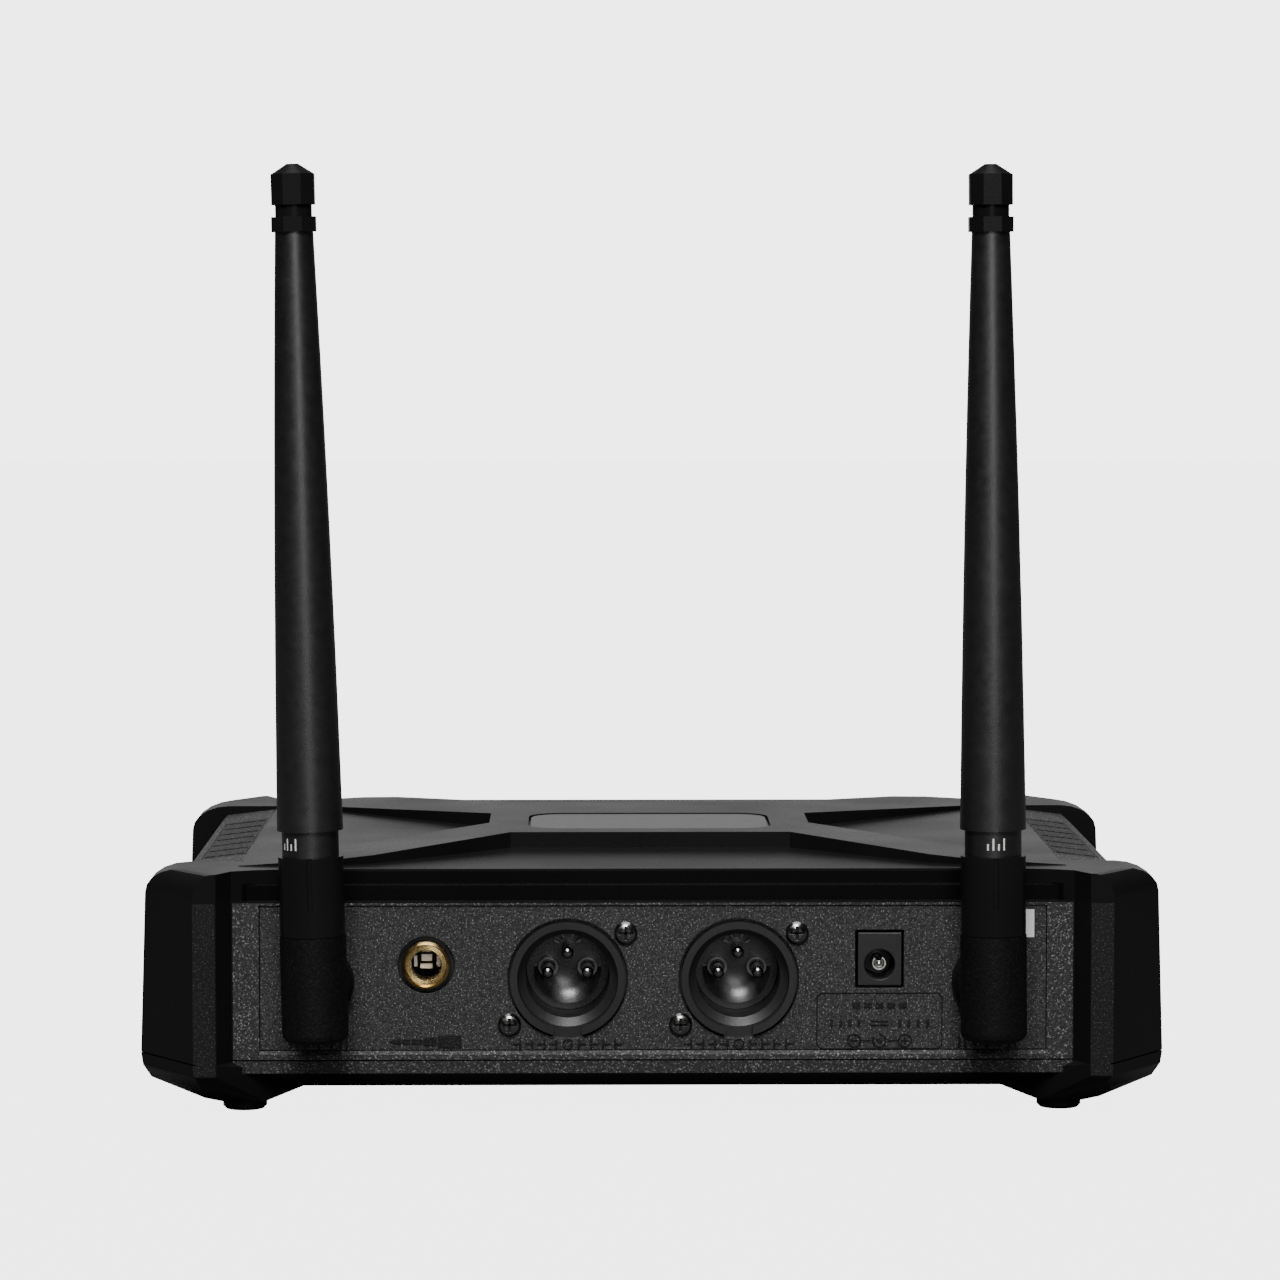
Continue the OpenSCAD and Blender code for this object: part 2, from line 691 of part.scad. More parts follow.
// Tip: an eight-sided ring, a waist, and a cap that closes to a low point
module aerial_tip(x, lean) {
    color(smooth) at_swivel(x, lean) translate([0, aerial_y, whip_z1]) rotate([0, 0, 22.5]) {
        cylinder(h = 3, r = 4.8, $fn = 8);
        translate([0, 0, 3]) cylinder(h = 2.4, r = 3.7);
        translate([0, 0, 5.4]) cylinder(h = 6.2, r = 4.68, $fn = 8);
        translate([0, 0, 11.6]) cylinder(h = 2, r1 = 4.3, r2 = 1.2);
    }
}

coax_r = 0.9;

// Coaxial lead from a hollow stub down to the receiver board
module coax_lead(x) {
    color("#2b2b2d") {
        rod_y(x, aerial_z, coax_r, stub_y0 - 6, stub_y0 + 4);
        translate([x, stub_y0 - 6, aerial_z]) sphere(r = coax_r, $fn = 24);
        translate([x, stub_y0 - 6, board_top]) cylinder(h = aerial_z - board_top, r = coax_r);
    }
}

// ---- front panel and controls ----

front_face_y = front_y + 0.3;
front_back_y = front_face_y + panel_t;
window_w = 66;
window_h = 21;
button_x = -72;
infra_x = 72;
shaft_r = 3;
bush_r = 3.45;

// Front plate with the display window, knob bushes, button hole and lamp holes
module front_panel() {
    color(plastic) difference() {
        box([-front_w / 2, front_face_y, front_z0], [front_w / 2, front_back_y, front_z1]);
        box([-window_w / 2, front_y - 1, control_z - window_h / 2],
            [window_w / 2, front_back_y + 1, control_z + window_h / 2]);
        for (x = [-knob_x, knob_x]) rod_y(x, control_z, bush_r + 0.1, front_y - 1, front_back_y + 1);
        rod_y(button_x, control_z, 4.3, front_y - 1, front_back_y + 1);
        rod_y(infra_x, control_z, 3.1, front_y - 1, front_back_y + 1);
        for (x = [-knob_x, knob_x])
            rod_y(x, control_z + 11, 1.1, front_y - 1, front_back_y + 1);
    }
}

// Smoked window over the display
module display_window() {
    color("#202830") box([-window_w / 2 + 0.1, front_face_y + 0.3, control_z - window_h / 2 + 0.1],
        [window_w / 2 - 0.1, front_back_y - 0.1, control_z + window_h / 2 - 0.1]);
}

// Display with its frame, standing on the front board
module display_module() {
    color("#26323a") box([-31, front_back_y + 0.4, control_z - 10],
        [31, front_board_y - 0.01, control_z + 10]);
}

// Round window of the infrared link
module infrared_window() {
    color("#3a0f12") {
        rod_y(infra_x, control_z, 3, front_face_y + 0.3, front_back_y - 0.1);
        rod_y(infra_x, control_z, 3.9, front_back_y + 0.05, front_back_y + 1.2);
    }
}

button_y0 = front_y - 2.6;

// Power button: a domed cap with a flange behind the panel and a plunger
module power_button() {
    color(smooth) {
        turned_y(button_x, control_z, button_y0)
            polygon([[0, 0], [3.2, 0.1], [3.9, 0.5], [4.2, 1.1], [4.2, 5.4], [0, 5.4]]);
        rod_y(button_x, control_z, 5.2, front_back_y + 0.1, front_back_y + 1.1);
        rod_y(button_x, control_z, 1.6, front_back_y + 1, front_board_y - button_travel - 2.5);
    }
}

// Push switch on the front board, behind the button's plunger
module power_switch() {
    color(dark) {
        box([button_x - 3.4, front_board_y - 2.4, control_z - 3.4],
            [button_x + 3.4, front_board_y - 0.01, control_z + 3.4]);
    }
}

// Signal lamps above the knobs
module status_leds() {
    color("#2f7d46") for (x = [-knob_x, knob_x])
        rod_y(x, control_z + 11, 1, front_face_y, front_board_y - 0.02);
}

knob_y0 = -reach_y;
knob_y1 = front_y - 0.5;
knob_flutes = 16;

// Volume knob: a fluted skirt with a pointer groove and a blind bore for the shaft
module volume_knob(x) {
    r = knob_d / 2;
    color(smooth) difference() {
        turned_y(x, control_z, knob_y0)
            polygon([[0, 0], [r - 1.4, 0], [r - 0.5, 0.9], [r - 0.5, 12], [r, 13],
                [r, knob_y1 - knob_y0], [0, knob_y1 - knob_y0]]);
        for (i = [0:knob_flutes - 1])
            rotate_about(x, i * 360 / knob_flutes)
                rod_y(x, control_z + r + 0.2, 1.1, knob_y0 + 2, knob_y0 + 11);
        rod_y(x, control_z, shaft_r + 0.02, knob_y0 + 4, knob_y1 + 1);
        box([x - 0.45, knob_y0 - 1, control_z + 1.5], [x + 0.45, knob_y0 + 0.5, control_z + r]);
    }
}

// Turns a shape about a knob's own axis
module rotate_about(x, a) {
    translate([x, 0, control_z]) rotate([0, a, 0]) translate([-x, 0, -control_z]) children();
}

pot_y1 = front_back_y + 0.4;
pot_y0 = front_board_y - 0.02;

// Control shaft that carries a knob and turns in the bush of its control
module volume_shaft(x) {
    color(nickel) rod_y(x, control_z, shaft_r, knob_y0 + 4.1, pot_y0 - 2.5);
}

// Rotary control: a square case on the front board with a threaded bush
module volume_pot(x) {
    color("#8a8d90") difference() {
        union() {
            box([x - 5.5, pot_y1, control_z - 5.5], [x + 5.5, pot_y0, control_z + 5.5]);
            rod_y(x, control_z, bush_r, front_y - 0.3, pot_y1 + 1);
        }
        rod_y(x, control_z, shaft_r + 0.04, front_y - 1, pot_y0 - 2.3);
    }
}

// Thin round nuts behind the panel that lock both controls
module pot_nuts() {
    color(nickel) for (x = [-knob_x, knob_x]) difference() {
        rod_y(x, control_z, 5.4, front_back_y + 0.02, front_back_y + 0.36);
        rod_y(x, control_z, bush_r + 0.03, front_back_y - 1, front_back_y + 1);
    }
}

// ---- boards ----

board_y0 = -48;
board_y1 = 70.5;

// Main board on the four standoffs, notched at the rear for the sockets
module main_board() {
    color(green) difference() {
        box([-70, board_y0, board_z], [70, board_y1, board_top]);
        for (x = standoff_x, y = standoff_y)
            translate([x, y, board_z - 1]) cylinder(h = 4, r = 1.3);
        for (x = [-xlr_x, xlr_x]) {
            box([x - 12.2, xlr_back_y - 0.2, board_z - 1], [x + 12.2, board_y1 + 1, board_top + 1]);
            for (p = pin_spots)
                box([x + p[0] - 0.6, xlr_back_y - 2.2 - p[1] / 2, board_z - 2],
                    [x + p[0] + 0.6, xlr_back_y - 1.2 - p[1] / 2, board_top + 1]);
        }
    }
}

// Upright board behind the front panel
module front_board() {
    color(green) box([-78, front_board_y, 16], [78, front_board_y + board_t, 42.5]);
}

// Flat cable from the front board back to the main board
module ribbon_cable() {
    color("#b9bcc0") {
        box([-12, front_board_y + board_t, 24], [12, front_board_y + board_t + 3, 24.8]);
        box([-12, front_board_y + board_t + 3, board_top + 2], [12, front_board_y + board_t + 3.8, 24.8]);
        box([-12, front_board_y + board_t + 3, board_top + 2], [12, board_y0 + 8, board_top + 2.8]);
        box([-13, board_y0 + 7, board_top], [13, board_y0 + 11, board_top + 5]);
    }
}

// Screening can over one receiver's radio stage
module rf_shield(x) {
    color(nickel) difference() {
        box([x - 17, -12, board_top], [x + 17, 22, board_top + 6]);
        box([x - 16.6, -11.6, board_top - 1], [x + 16.6, 21.6, board_top + 5.6]);
        for (i = [-2:2], j = [-1:1])
            translate([x + i * 6, 5 + j * 8, board_top]) cylinder(h = 8, r = 1);
    }
}

// Processor and amplifier packages
module logic_chips() {
    color("#18191b") {
        box([-6, -6, board_top], [6, 6, board_top + 1.4]);
        box([-4, 16, board_top], [4, 22, board_top + 1.6]);
        box([-30, -30, board_top], [-22, -24, board_top + 1.6]);
        box([22, -30, board_top], [30, -24, board_top + 1.6]);
    }
}

// Upright capacitors of the supply and the audio outputs
module capacitors() {
    color("#2a3560") {
        for (y = [-38, -26])
            translate([-50, y, board_top]) cylinder(h = 12, r = 4);
        for (x = [-4, 4])
            translate([x, 32, board_top]) cylinder(h = 7, r = 2.5);
        for (x = [36, 46])
            translate([x, -34, board_top]) cylinder(h = 9, r = 3.2);
    }
}

// ---- feet, fasteners and trim ----

foot_r = 4.6;

// Rubber foot with a plug that is pushed up into a pod
module foot(i) {
    x = (i % 2 == 0 ? -1 : 1) * foot_x;
    y = (i < 2 ? -1 : 1) * foot_y;
    pad = foot_h - 0.6;
    color("#0d0d0e") translate([x, y, 0]) rotate_extrude()
        polygon([[0, 0], [foot_r - 0.6, 0], [foot_r, 0.6], [foot_r, pad - 0.05], [3, pad - 0.05],
            [3, foot_h + 0.3], [0, foot_h + 0.3]]);
}

// The four case screws, driven up from below
module case_screws() {
    color("#3a3c3f") for (x = [-post_x, post_x], y = post_y) difference() {
        union() {
            translate([x, y, screw_seat_z - 2]) cylinder(h = 1.95, r = 2.7);
            translate([x, y, screw_seat_z - 0.2]) cylinder(h = 24 - screw_seat_z, r = 1.1);
        }
        box([x - 1.5, y - 0.3, screw_seat_z - 3], [x + 1.5, y + 0.3, screw_seat_z - 1]);
        box([x - 0.3, y - 1.5, screw_seat_z - 3], [x + 0.3, y + 1.5, screw_seat_z - 1]);
    }
}

// The four screws that hold the main board
module board_screws() {
    color(nickel) for (x = standoff_x, y = standoff_y) {
        translate([x, y, board_top + 0.02]) cylinder(h = 1.5, r = 2.5);
        translate([x, y, floor_in + 1.2]) cylinder(h = board_top - floor_in - 1, r = 1.05);
    }
}

// Plain oblong badge let into the raised cross
module lid_badge() {
    color("#b5b8bb") translate([0, badge_y, top_z + cross_h - 0.9]) linear_extrude(0.7)
        badge_outline(0);
}

// Blank paper label on the panel, beside aerial A
module serial_sticker() {
    color(white) box([-78.6, panel_face_y, 37.4], [-66.5, panel_face_y + 0.12, 43.2]);
}

top_shell();
bottom_shell();
vent_strips();
rear_panel();
front_panel();
display_window();
display_module();
infrared_window();
power_button();
power_switch();
status_leds();
volume_knob(-knob_x);  // volume_knob_a
volume_knob(knob_x);  // volume_knob_b
volume_shaft(-knob_x);  // volume_shaft_a
volume_shaft(knob_x);  // volume_shaft_b
volume_pot(-knob_x);  // volume_pot_a
volume_pot(knob_x);  // volume_pot_b
pot_nuts();
main_board();
front_board();
ribbon_cable();
rf_shield(-38);  // rf_shield_a
rf_shield(38);  // rf_shield_b
logic_chips();
capacitors();
xlr_shell(-xlr_x);  // xlr_shell_a
xlr_shell(xlr_x);  // xlr_shell_b
xlr_insert(-xlr_x);  // xlr_insert_a
xlr_insert(xlr_x);  // xlr_insert_b
xlr_pins(-xlr_x);  // xlr_pins_a
xlr_pins(xlr_x);  // xlr_pins_b
xlr_screws();
jack_bushing();
jack_body();
jack_springs();
dc_socket();
dc_pin();
aerial_collar(-aerial_x);  // aerial_collar_a
aerial_collar(aerial_x);  // aerial_collar_b
collar_nuts();
aerial_elbow(-aerial_x, lean_a);  // aerial_elbow_a
aerial_elbow(aerial_x, lean_b);  // aerial_elbow_b
aerial_clip(-aerial_x);  // aerial_clip_a
aerial_clip(aerial_x);  // aerial_clip_b
aerial_sleeve(-aerial_x, lean_a);  // aerial_sleeve_a
aerial_sleeve(aerial_x, lean_b);  // aerial_sleeve_b
aerial_whip(-aerial_x, lean_a);  // aerial_whip_a
aerial_whip(aerial_x, lean_b);  // aerial_whip_b
aerial_tip(-aerial_x, lean_a);  // aerial_tip_a
aerial_tip(aerial_x, lean_b);  // aerial_tip_b
coax_lead(-aerial_x);  // coax_lead_a
coax_lead(aerial_x);  // coax_lead_b
for (i = [0:3]) foot(i);
case_screws();
board_screws();
lid_badge();
serial_sticker();
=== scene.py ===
import json
import math

import bmesh
import bpy
from mathutils import Matrix, Vector


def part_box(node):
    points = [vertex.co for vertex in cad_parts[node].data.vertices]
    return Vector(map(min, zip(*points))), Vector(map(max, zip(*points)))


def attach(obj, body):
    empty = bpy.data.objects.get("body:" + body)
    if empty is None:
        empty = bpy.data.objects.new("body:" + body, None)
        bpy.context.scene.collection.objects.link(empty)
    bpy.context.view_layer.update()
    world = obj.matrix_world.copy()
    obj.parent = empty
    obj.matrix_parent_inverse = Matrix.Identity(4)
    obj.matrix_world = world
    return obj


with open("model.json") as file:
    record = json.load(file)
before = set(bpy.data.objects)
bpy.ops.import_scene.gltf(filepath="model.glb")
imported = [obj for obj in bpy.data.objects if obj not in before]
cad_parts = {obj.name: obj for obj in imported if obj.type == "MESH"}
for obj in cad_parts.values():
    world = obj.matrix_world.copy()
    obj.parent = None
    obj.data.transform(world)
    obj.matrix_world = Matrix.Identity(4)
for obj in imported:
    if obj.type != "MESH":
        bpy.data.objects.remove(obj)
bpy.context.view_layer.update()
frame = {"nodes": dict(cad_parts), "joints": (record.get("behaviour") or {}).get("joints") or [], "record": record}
MM = 0.001
NODES = frame["nodes"]
JOINTS = {j["name"]: j for j in frame["joints"]}
MOUNTS = {m["name"]: m for m in frame["record"]["mounts"]}
SLOT_OF = {s["node"]: s["material_slot"] for s in frame["record"]["subparts"]}
COLOUR = {m["slot"]: m["base_color"][:3] for m in frame["record"]["materials"]}


# ---- shader helpers ----

class Shader:
    """A node material under construction."""

    def __init__(self, name):
        self.mat = bpy.data.materials.new(name)
        self.mat.use_nodes = True
        self.tree = self.mat.node_tree
        self.bsdf = self.tree.nodes["Principled BSDF"]
        self.coord = self.node("ShaderNodeTexCoord").outputs["Object"]

    def node(self, kind, **props):
        made = self.tree.nodes.new(kind)
        for key, value in props.items():
            setattr(made, key, value)
        return made

    def link(self, source, target):
        self.tree.links.new(source, target)

    def put(self, socket, value):
        """Sets a socket to a number or links it to an output."""
        if isinstance(value, bpy.types.NodeSocket):
            self.link(value, socket)
        else:
            socket.default_value = value

    def set(self, **values):
        """Sets inputs of the Principled shader, with underscores for the spaces in their names."""
        for key, value in values.items():
            self.put(self.bsdf.inputs[key.replace("_", " ")], value)
        return self

    def noise(self, scale, detail=2.0, rough=0.5, stretch=(1, 1, 1)):
        """Noise in object coordinates, at this many cells a metre."""
        vector = self.coord
        if stretch != (1, 1, 1):
            mapping = self.node("ShaderNodeMapping")
            mapping.inputs["Scale"].default_value = stretch
            self.link(self.coord, mapping.inputs["Vector"])
            vector = mapping.outputs["Vector"]
        made = self.node("ShaderNodeTexNoise")
        self.link(vector, made.inputs["Vector"])
        made.inputs["Scale"].default_value = scale
        made.inputs["Detail"].default_value = detail
        made.inputs["Roughness"].default_value = rough
        return made.outputs["Fac"]

    def cells(self, scale):
        made = self.node("ShaderNodeTexVoronoi")
        self.link(self.coord, made.inputs["Vector"])
        made.inputs["Scale"].default_value = scale
        return made

    def remap(self, value, a, b, lo=0.0, hi=1.0):
        """Maps a..b to lo..hi, clamped."""
        made = self.node("ShaderNodeMapRange", clamp=True)
        inputs = {"Value": value, "From Min": a, "From Max": b, "To Min": lo, "To Max": hi}
        for key, number in inputs.items():
            self.put(made.inputs[key], number)
        return made.outputs["Result"]

    def math(self, operation, a, b=0.0):
        made = self.node("ShaderNodeMath", operation=operation)
        self.put(made.inputs[0], a)
        self.put(made.inputs[1], b)
        return made.outputs[0]

    def colour(self, factor, a, b):
        made = self.node("ShaderNodeMix", data_type="RGBA")
        self.put(made.inputs["Factor"], factor)
        self.put(made.inputs["A"], a if isinstance(a, bpy.types.NodeSocket) else (*a, 1))
        self.put(made.inputs["B"], b if isinstance(b, bpy.types.NodeSocket) else (*b, 1))
        return made.outputs["Result"]

    def mix(self, factor, a, b):
        made = self.node("ShaderNodeMix", data_type="FLOAT")
        self.put(made.inputs["Factor"], factor)
        self.put(made.inputs["A"], a)
        self.put(made.inputs["B"], b)
        return made.outputs["Result"]

    def bump(self, height, distance, strength=1.0):
        made = self.node("ShaderNodeBump")
        self.put(made.inputs["Height"], height)
        made.inputs["Distance"].default_value = distance
        self.put(made.inputs["Strength"], strength)
        self.link(made.outputs["Normal"], self.bsdf.inputs["Normal"])
        return self

    def xyz(self):
        made = self.node("ShaderNodeSeparateXYZ")
        self.link(self.coord, made.inputs[0])
        return made.outputs


def tone(rgb, k):
    return tuple(min(1.0, c * k) for c in rgb)


# Noise cells a metre, specular levels and relief of the two moulded finishes, with the colours of their painted
# glints and painted shade
GRAIN = 1700
GLINT_CELLS = 3000
GRAIN_GLEAM = 0.3
SATIN_GLEAM = 0.06
GRAIN_RELIEF = 0.00016
# Colour of the small bright spots in the grain: painted glints
GLINT_COLOUR = (0.25, 0.25, 0.26)
# Near-black colour of the painted shade on the shell's brow and lid edge
PAINTED_SHADE_COLOUR = (0.0015, 0.0015, 0.0016)


def grain_parts(s, base, glints=0.8):
    """Colour, roughness and height of the spark-eroded plastic: dark, with small bright spots painted in as
    glints.
    """
    glint = s.remap(s.noise(GLINT_CELLS, 1.0, 0.4), 0.6, 0.74)
    pits = s.noise(GRAIN, 2.0, 0.6)
    cloud = s.noise(60, 3.0)
    body = s.colour(cloud, tone(base, 0.7), tone(base, 1.3))
    body = s.colour(s.remap(pits, 0.4, 0.65, 0.0, 0.9), body, tone(base, 2.8))
    body = s.colour(s.math("MULTIPLY", glint, glints), body, GLINT_COLOUR)
    rough = s.mix(glint, s.remap(pits, 0.3, 0.7, 0.66, 0.5), 0.3)
    return body, rough, pits


def satin_parts(s, base, rough_lo=0.26, rough_hi=0.36):
    """Colour, roughness and height of the smooth satin plastic."""
    cloud = s.noise(35, 4.0)
    fine = s.noise(1500, 2.0)
    body = s.colour(cloud, tone(base, 0.8), tone(base, 1.25))
    blend = s.math("ADD", s.math("MULTIPLY", cloud, 0.6), s.math("MULTIPLY", fine, 0.4))
    return body, s.remap(blend, 0.35, 0.65, rough_lo, rough_hi), fine


def textured(name, base, dark=1.0, gleam=GRAIN_GLEAM, glints=0.8):
    """Grained plastic, its colour scaled by dark."""
    s = Shader(name)
    body, rough, pits = grain_parts(s, tone(base, dark), glints)
    s.set(Base_Color=body, Roughness=rough, Specular_IOR_Level=gleam)
    return s.bump(pits, GRAIN_RELIEF, 0.7).mat


def satin(name, base, rough=(0.26, 0.36), gleam=SATIN_GLEAM):
    """Smooth plastic."""
    s = Shader(name)
    body, roughness, fine = satin_parts(s, base, *rough)
    s.set(Base_Color=body, Roughness=roughness, Specular_IOR_Level=gleam)
    return s.bump(fine, 0.00003, 0.4).mat


def zone_mask(s, zones):
    """Largest weight of the zones that hold a point.

    A zone is a weight and a list of (axis, mirrored, low, high) tests in metres.
    """
    axes = s.xyz()
    mask = None
    for weight, zone in zones:
        inside = None
        for axis, mirrored, low, high in zone:
            value = s.math("ABSOLUTE", axes[axis]) if mirrored else axes[axis]
            step = s.math("MULTIPLY", s.math("GREATER_THAN", value, low), s.math("LESS_THAN", value, high))
            inside = step if inside is None else s.math("MULTIPLY", inside, step)
        inside = s.math("MULTIPLY", inside, weight)
        mask = inside if mask is None else s.math("MAXIMUM", mask, inside)
    return mask


def shell(name, base, grain_base, zones, shade_zones=()):
    """Satin shell with grained zones and, where given, zones darkened to a painted shade."""
    s = Shader(name)
    mask = zone_mask(s, zones)
    body, rough, fine = satin_parts(s, base)
    # Painted shade: these zones are darkened to near black
    if shade_zones:
        body = s.colour(zone_mask(s, shade_zones), body, PAINTED_SHADE_COLOUR)
    gbody, grough, pits = grain_parts(s, grain_base)
    s.set(Base_Color=s.colour(mask, body, gbody), Roughness=s.mix(mask, rough, grough),
          Specular_IOR_Level=s.mix(mask, SATIN_GLEAM, GRAIN_GLEAM))
    height = s.mix(mask, s.math("MULTIPLY", fine, 0.06), pits)
    return s.bump(height, GRAIN_RELIEF, 0.7).mat


def metal(name, base, rough=0.2, stretch=(1, 1, 1), scale=900):
    """Metal with fine scratches, brushed where stretch is uneven."""
    s = Shader(name)
    scratch = s.noise(scale, 3.0, 0.6, stretch)
    s.set(Base_Color=s.colour(scratch, tone(base, 0.8), tone(base, 1.12)), Metallic=1.0,
          Roughness=s.remap(scratch, 0.3, 0.7, rough * 0.7, rough * 1.6))
    return s.bump(scratch, 0.00002, 0.4).mat


def turned_brass(name, base, rim_brown, centre):
    """Brass turned on a lathe about the axis through centre, darker brown toward its rim."""
    s = Shader(name)
    axes = s.xyz()
    dx = s.math("SUBTRACT", axes[0], centre.x)
    dz = s.math("SUBTRACT", axes[2], centre.z)
    radius = s.math("SQRT", s.math("ADD", s.math("MULTIPLY", dx, dx), s.math("MULTIPLY", dz, dz)))
    band = s.remap(radius, 0.0046, 0.0050, 0.0, 0.8)
    fine = s.noise(900, 3.0)
    rings = s.math("SINE", s.math("MULTIPLY", radius, 21000))
    s.set(Base_Color=s.colour(band, base, rim_brown), Metallic=1.0,
          Roughness=s.remap(fine, 0.3, 0.7, 0.16, 0.34))
    return s.bump(rings, 0.00002, 0.5).mat


def rubber(name, base, rough=(0.42, 0.6), gleam=0.4):
    """Mottled rubber."""
    s = Shader(name)
    mottle = s.noise(420, 4.0, 0.65)
    fine = s.noise(2600, 2.0)
    s.set(Base_Color=s.colour(mottle, tone(base, 0.7), tone(base, 1.5)),
          Roughness=s.remap(mottle, 0.3, 0.7, *rough), Specular_IOR_Level=gleam)
    return s.bump(s.math("ADD", mottle, s.math("MULTIPLY", fine, 0.5)), 0.00006, 0.5).mat


def gloss(name, base, rough=0.12, transmission=0.0, emission=0.0):
    """Glossy plastic or glass with a faint haze, clear or glowing where asked."""
    s = Shader(name)
    haze = s.noise(120, 3.0)
    s.set(Base_Color=s.colour(haze, tone(base, 0.85), tone(base, 1.15)), Transmission_Weight=transmission,
          Roughness=s.remap(haze, 0.3, 0.7, rough * 0.7, rough * 1.5))
    if emission:
        s.bsdf.inputs["Emission Color"].default_value = (*base, 1)
        s.bsdf.inputs["Emission Strength"].default_value = emission
    return s.mat


def board(name, base):
    """Circuit board with copper areas under the lacquer."""
    s = Shader(name)
    patch = s.cells(420)
    track = s.remap(patch.outputs["Distance"], 0.28, 0.34)
    s.set(Base_Color=s.colour(track, tone(base, 1.5), base), Roughness=s.mix(track, 0.28, 0.42))
    return s.bump(track, 0.00004, 0.5).mat


def paper(name, base, scale=900):
    """Matt paper or ink with fine fibres."""
    s = Shader(name)
    fibre = s.noise(scale, 5.0, 0.7)
    s.set(Base_Color=s.colour(fibre, tone(base, 0.9), base),
          Roughness=s.remap(fibre, 0.3, 0.7, 0.55, 0.8))
    return s.bump(fibre, 0.00002, 0.4).mat


# ---- zones of the shells' finish and painted shade ----

X, Y, Z = 0, 1, 2
FAR = 1.0
REAR_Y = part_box("rear_panel")[1].y + 0.5 * MM
BUMPER_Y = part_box("top_shell")[1].y
FRAME_HALF_W = 86.6 * MM
LID_HALF_W = 86.2 * MM
FACE_WEIGHT = 0.3
FRAME_WEIGHT = 0.8
SHADE_WEIGHT = 0.8
bumper_face = [(Y, False, BUMPER_Y - 0.5 * MM, BUMPER_Y + 1 * MM), (X, True, 89.8 * MM, 94.4 * MM)]
lid_width = (X, True, -FAR, LID_HALF_W)
frame_width = (X, True, -FAR, FRAME_HALF_W)
TOP_ZONES = [
    (1.0, [(Y, False, REAR_Y - 0.7 * MM, REAR_Y + 0.6 * MM), frame_width, (Z, False, 0, 44.7 * MM)]),
    (FACE_WEIGHT, bumper_face + [(Z, False, 0, 45.2 * MM)]),
    (1.0, [(X, True, LID_HALF_W, 97.3 * MM), (Y, True, -FAR, 55.5 * MM), (Z, False, 47 * MM, 50.6 * MM)]),
]
base_face = (Y, False, REAR_Y - 0.4 * MM, REAR_Y + 0.6 * MM)
BASE_ZONES = [
    (FRAME_WEIGHT, [base_face, frame_width, (Z, False, 9.4 * MM, FAR)]),
    (FACE_WEIGHT, bumper_face + [(Z, False, 9.6 * MM, FAR)]),
]
# The brow and the lid's rear edge are painted near black: painted shade for the dark their steep faces reflect
brow = [(Y, False, REAR_Y - 2.2 * MM, REAR_Y - 1.1 * MM), (Z, False, 44.6 * MM, 48.5 * MM)]
lid_edge = [(Y, False, BUMPER_Y - 11 * MM, BUMPER_Y - 9.4 * MM), (Z, False, 47.9 * MM, 50.8 * MM)]
PAINTED_SHADE_ZONES = [(SHADE_WEIGHT, brow + [lid_width]), (SHADE_WEIGHT, lid_edge + [lid_width])]


# ---- materials ----

jack_at = Vector(MOUNTS["mix_jack"]["pos_m"])
inlet_at = Vector(MOUNTS["power_inlet"]["pos_m"])
out_at = {k: Vector(MOUNTS["balanced_out_" + k]["pos_m"]) for k in "ab"}
swivel_at = {k: Vector(JOINTS[f"aerial_{k}_swivel"]["pos_m"]) for k in "ab"}

RIM_BROWN = (0.07, 0.04, 0.02)
MOULDED = tone(COLOUR["satin_shell"], 1.4)
MATERIALS = {
    "satin_shell": satin("satin_black", MOULDED),
    "textured_plastic": textured("grained_black", COLOUR["textured_plastic"]),
    "whip_rubber": rubber("whip_rubber", tone(COLOUR["whip_rubber"], 0.5), (0.36, 0.46), 0.75),
    "foot_rubber": rubber("foot_rubber", COLOUR["foot_rubber"], (0.6, 0.8)),
    "knob_plastic": satin("knob_plastic", tone(COLOUR["knob_plastic"], 2), (0.36, 0.5), 0.3),
    "socket_plastic": satin("socket_plastic", tone(COLOUR["socket_plastic"], 2.6), (0.28, 0.4), 0.35),
    "nickel": metal("nickel", COLOUR["nickel"], 0.16),
    "zinc": metal("zinc", COLOUR["zinc"], 0.35),
    "brass": turned_brass("turned_brass", tone(COLOUR["brass"], 0.75), RIM_BROWN, jack_at),
    "black_steel": metal("black_steel", COLOUR["black_steel"], 0.4),
    "smoked_window": gloss("smoked_window", tone(COLOUR["smoked_window"], 9), 0.05, transmission=0.9),
    "dark_glass": gloss("display_glass", COLOUR["dark_glass"], 0.1),
    "infrared_lens": gloss("infrared_lens", COLOUR["infrared_lens"], 0.08),
    "lamp_green": gloss("lamp_green", COLOUR["lamp_green"], 0.2, emission=0.3),
    "circuit_board": board("circuit_board", COLOUR["circuit_board"]),
    "cable_grey": satin("cable_grey", COLOUR["cable_grey"], (0.45, 0.6)),
    "cable_black": satin("cable_black", COLOUR["cable_black"], (0.45, 0.6)),
    "chip_black": satin("chip_black", COLOUR["chip_black"], (0.5, 0.65)),
    "capacitor_blue": gloss("capacitor_sleeve", COLOUR["capacitor_blue"], 0.3),
    "badge_grey": metal("badge_silver", COLOUR["badge_grey"], 0.42, (1, 30, 1), 400),
    "label_white": paper("label_paper", COLOUR["label_white"]),
}
SHELL_TOP = shell("shell_top", MOULDED, COLOUR["textured_plastic"], TOP_ZONES, PAINTED_SHADE_ZONES)
SHELL_BASE = shell("shell_base", MOULDED, COLOUR["textured_plastic"], BASE_ZONES)
MARK = textured("raised_mark", COLOUR["textured_plastic"], 0.3, 0.2, 0.2)
ELBOW = textured("elbow_grain", COLOUR["textured_plastic"], 0.16, 0.12, 0.04)
VENT = textured("vent_grain", COLOUR["textured_plastic"], 0.6, 0.25, 0.3)
INSERT = satin("insert_plastic", tone(COLOUR["socket_plastic"], 4.0), (0.24, 0.32), 0.7)
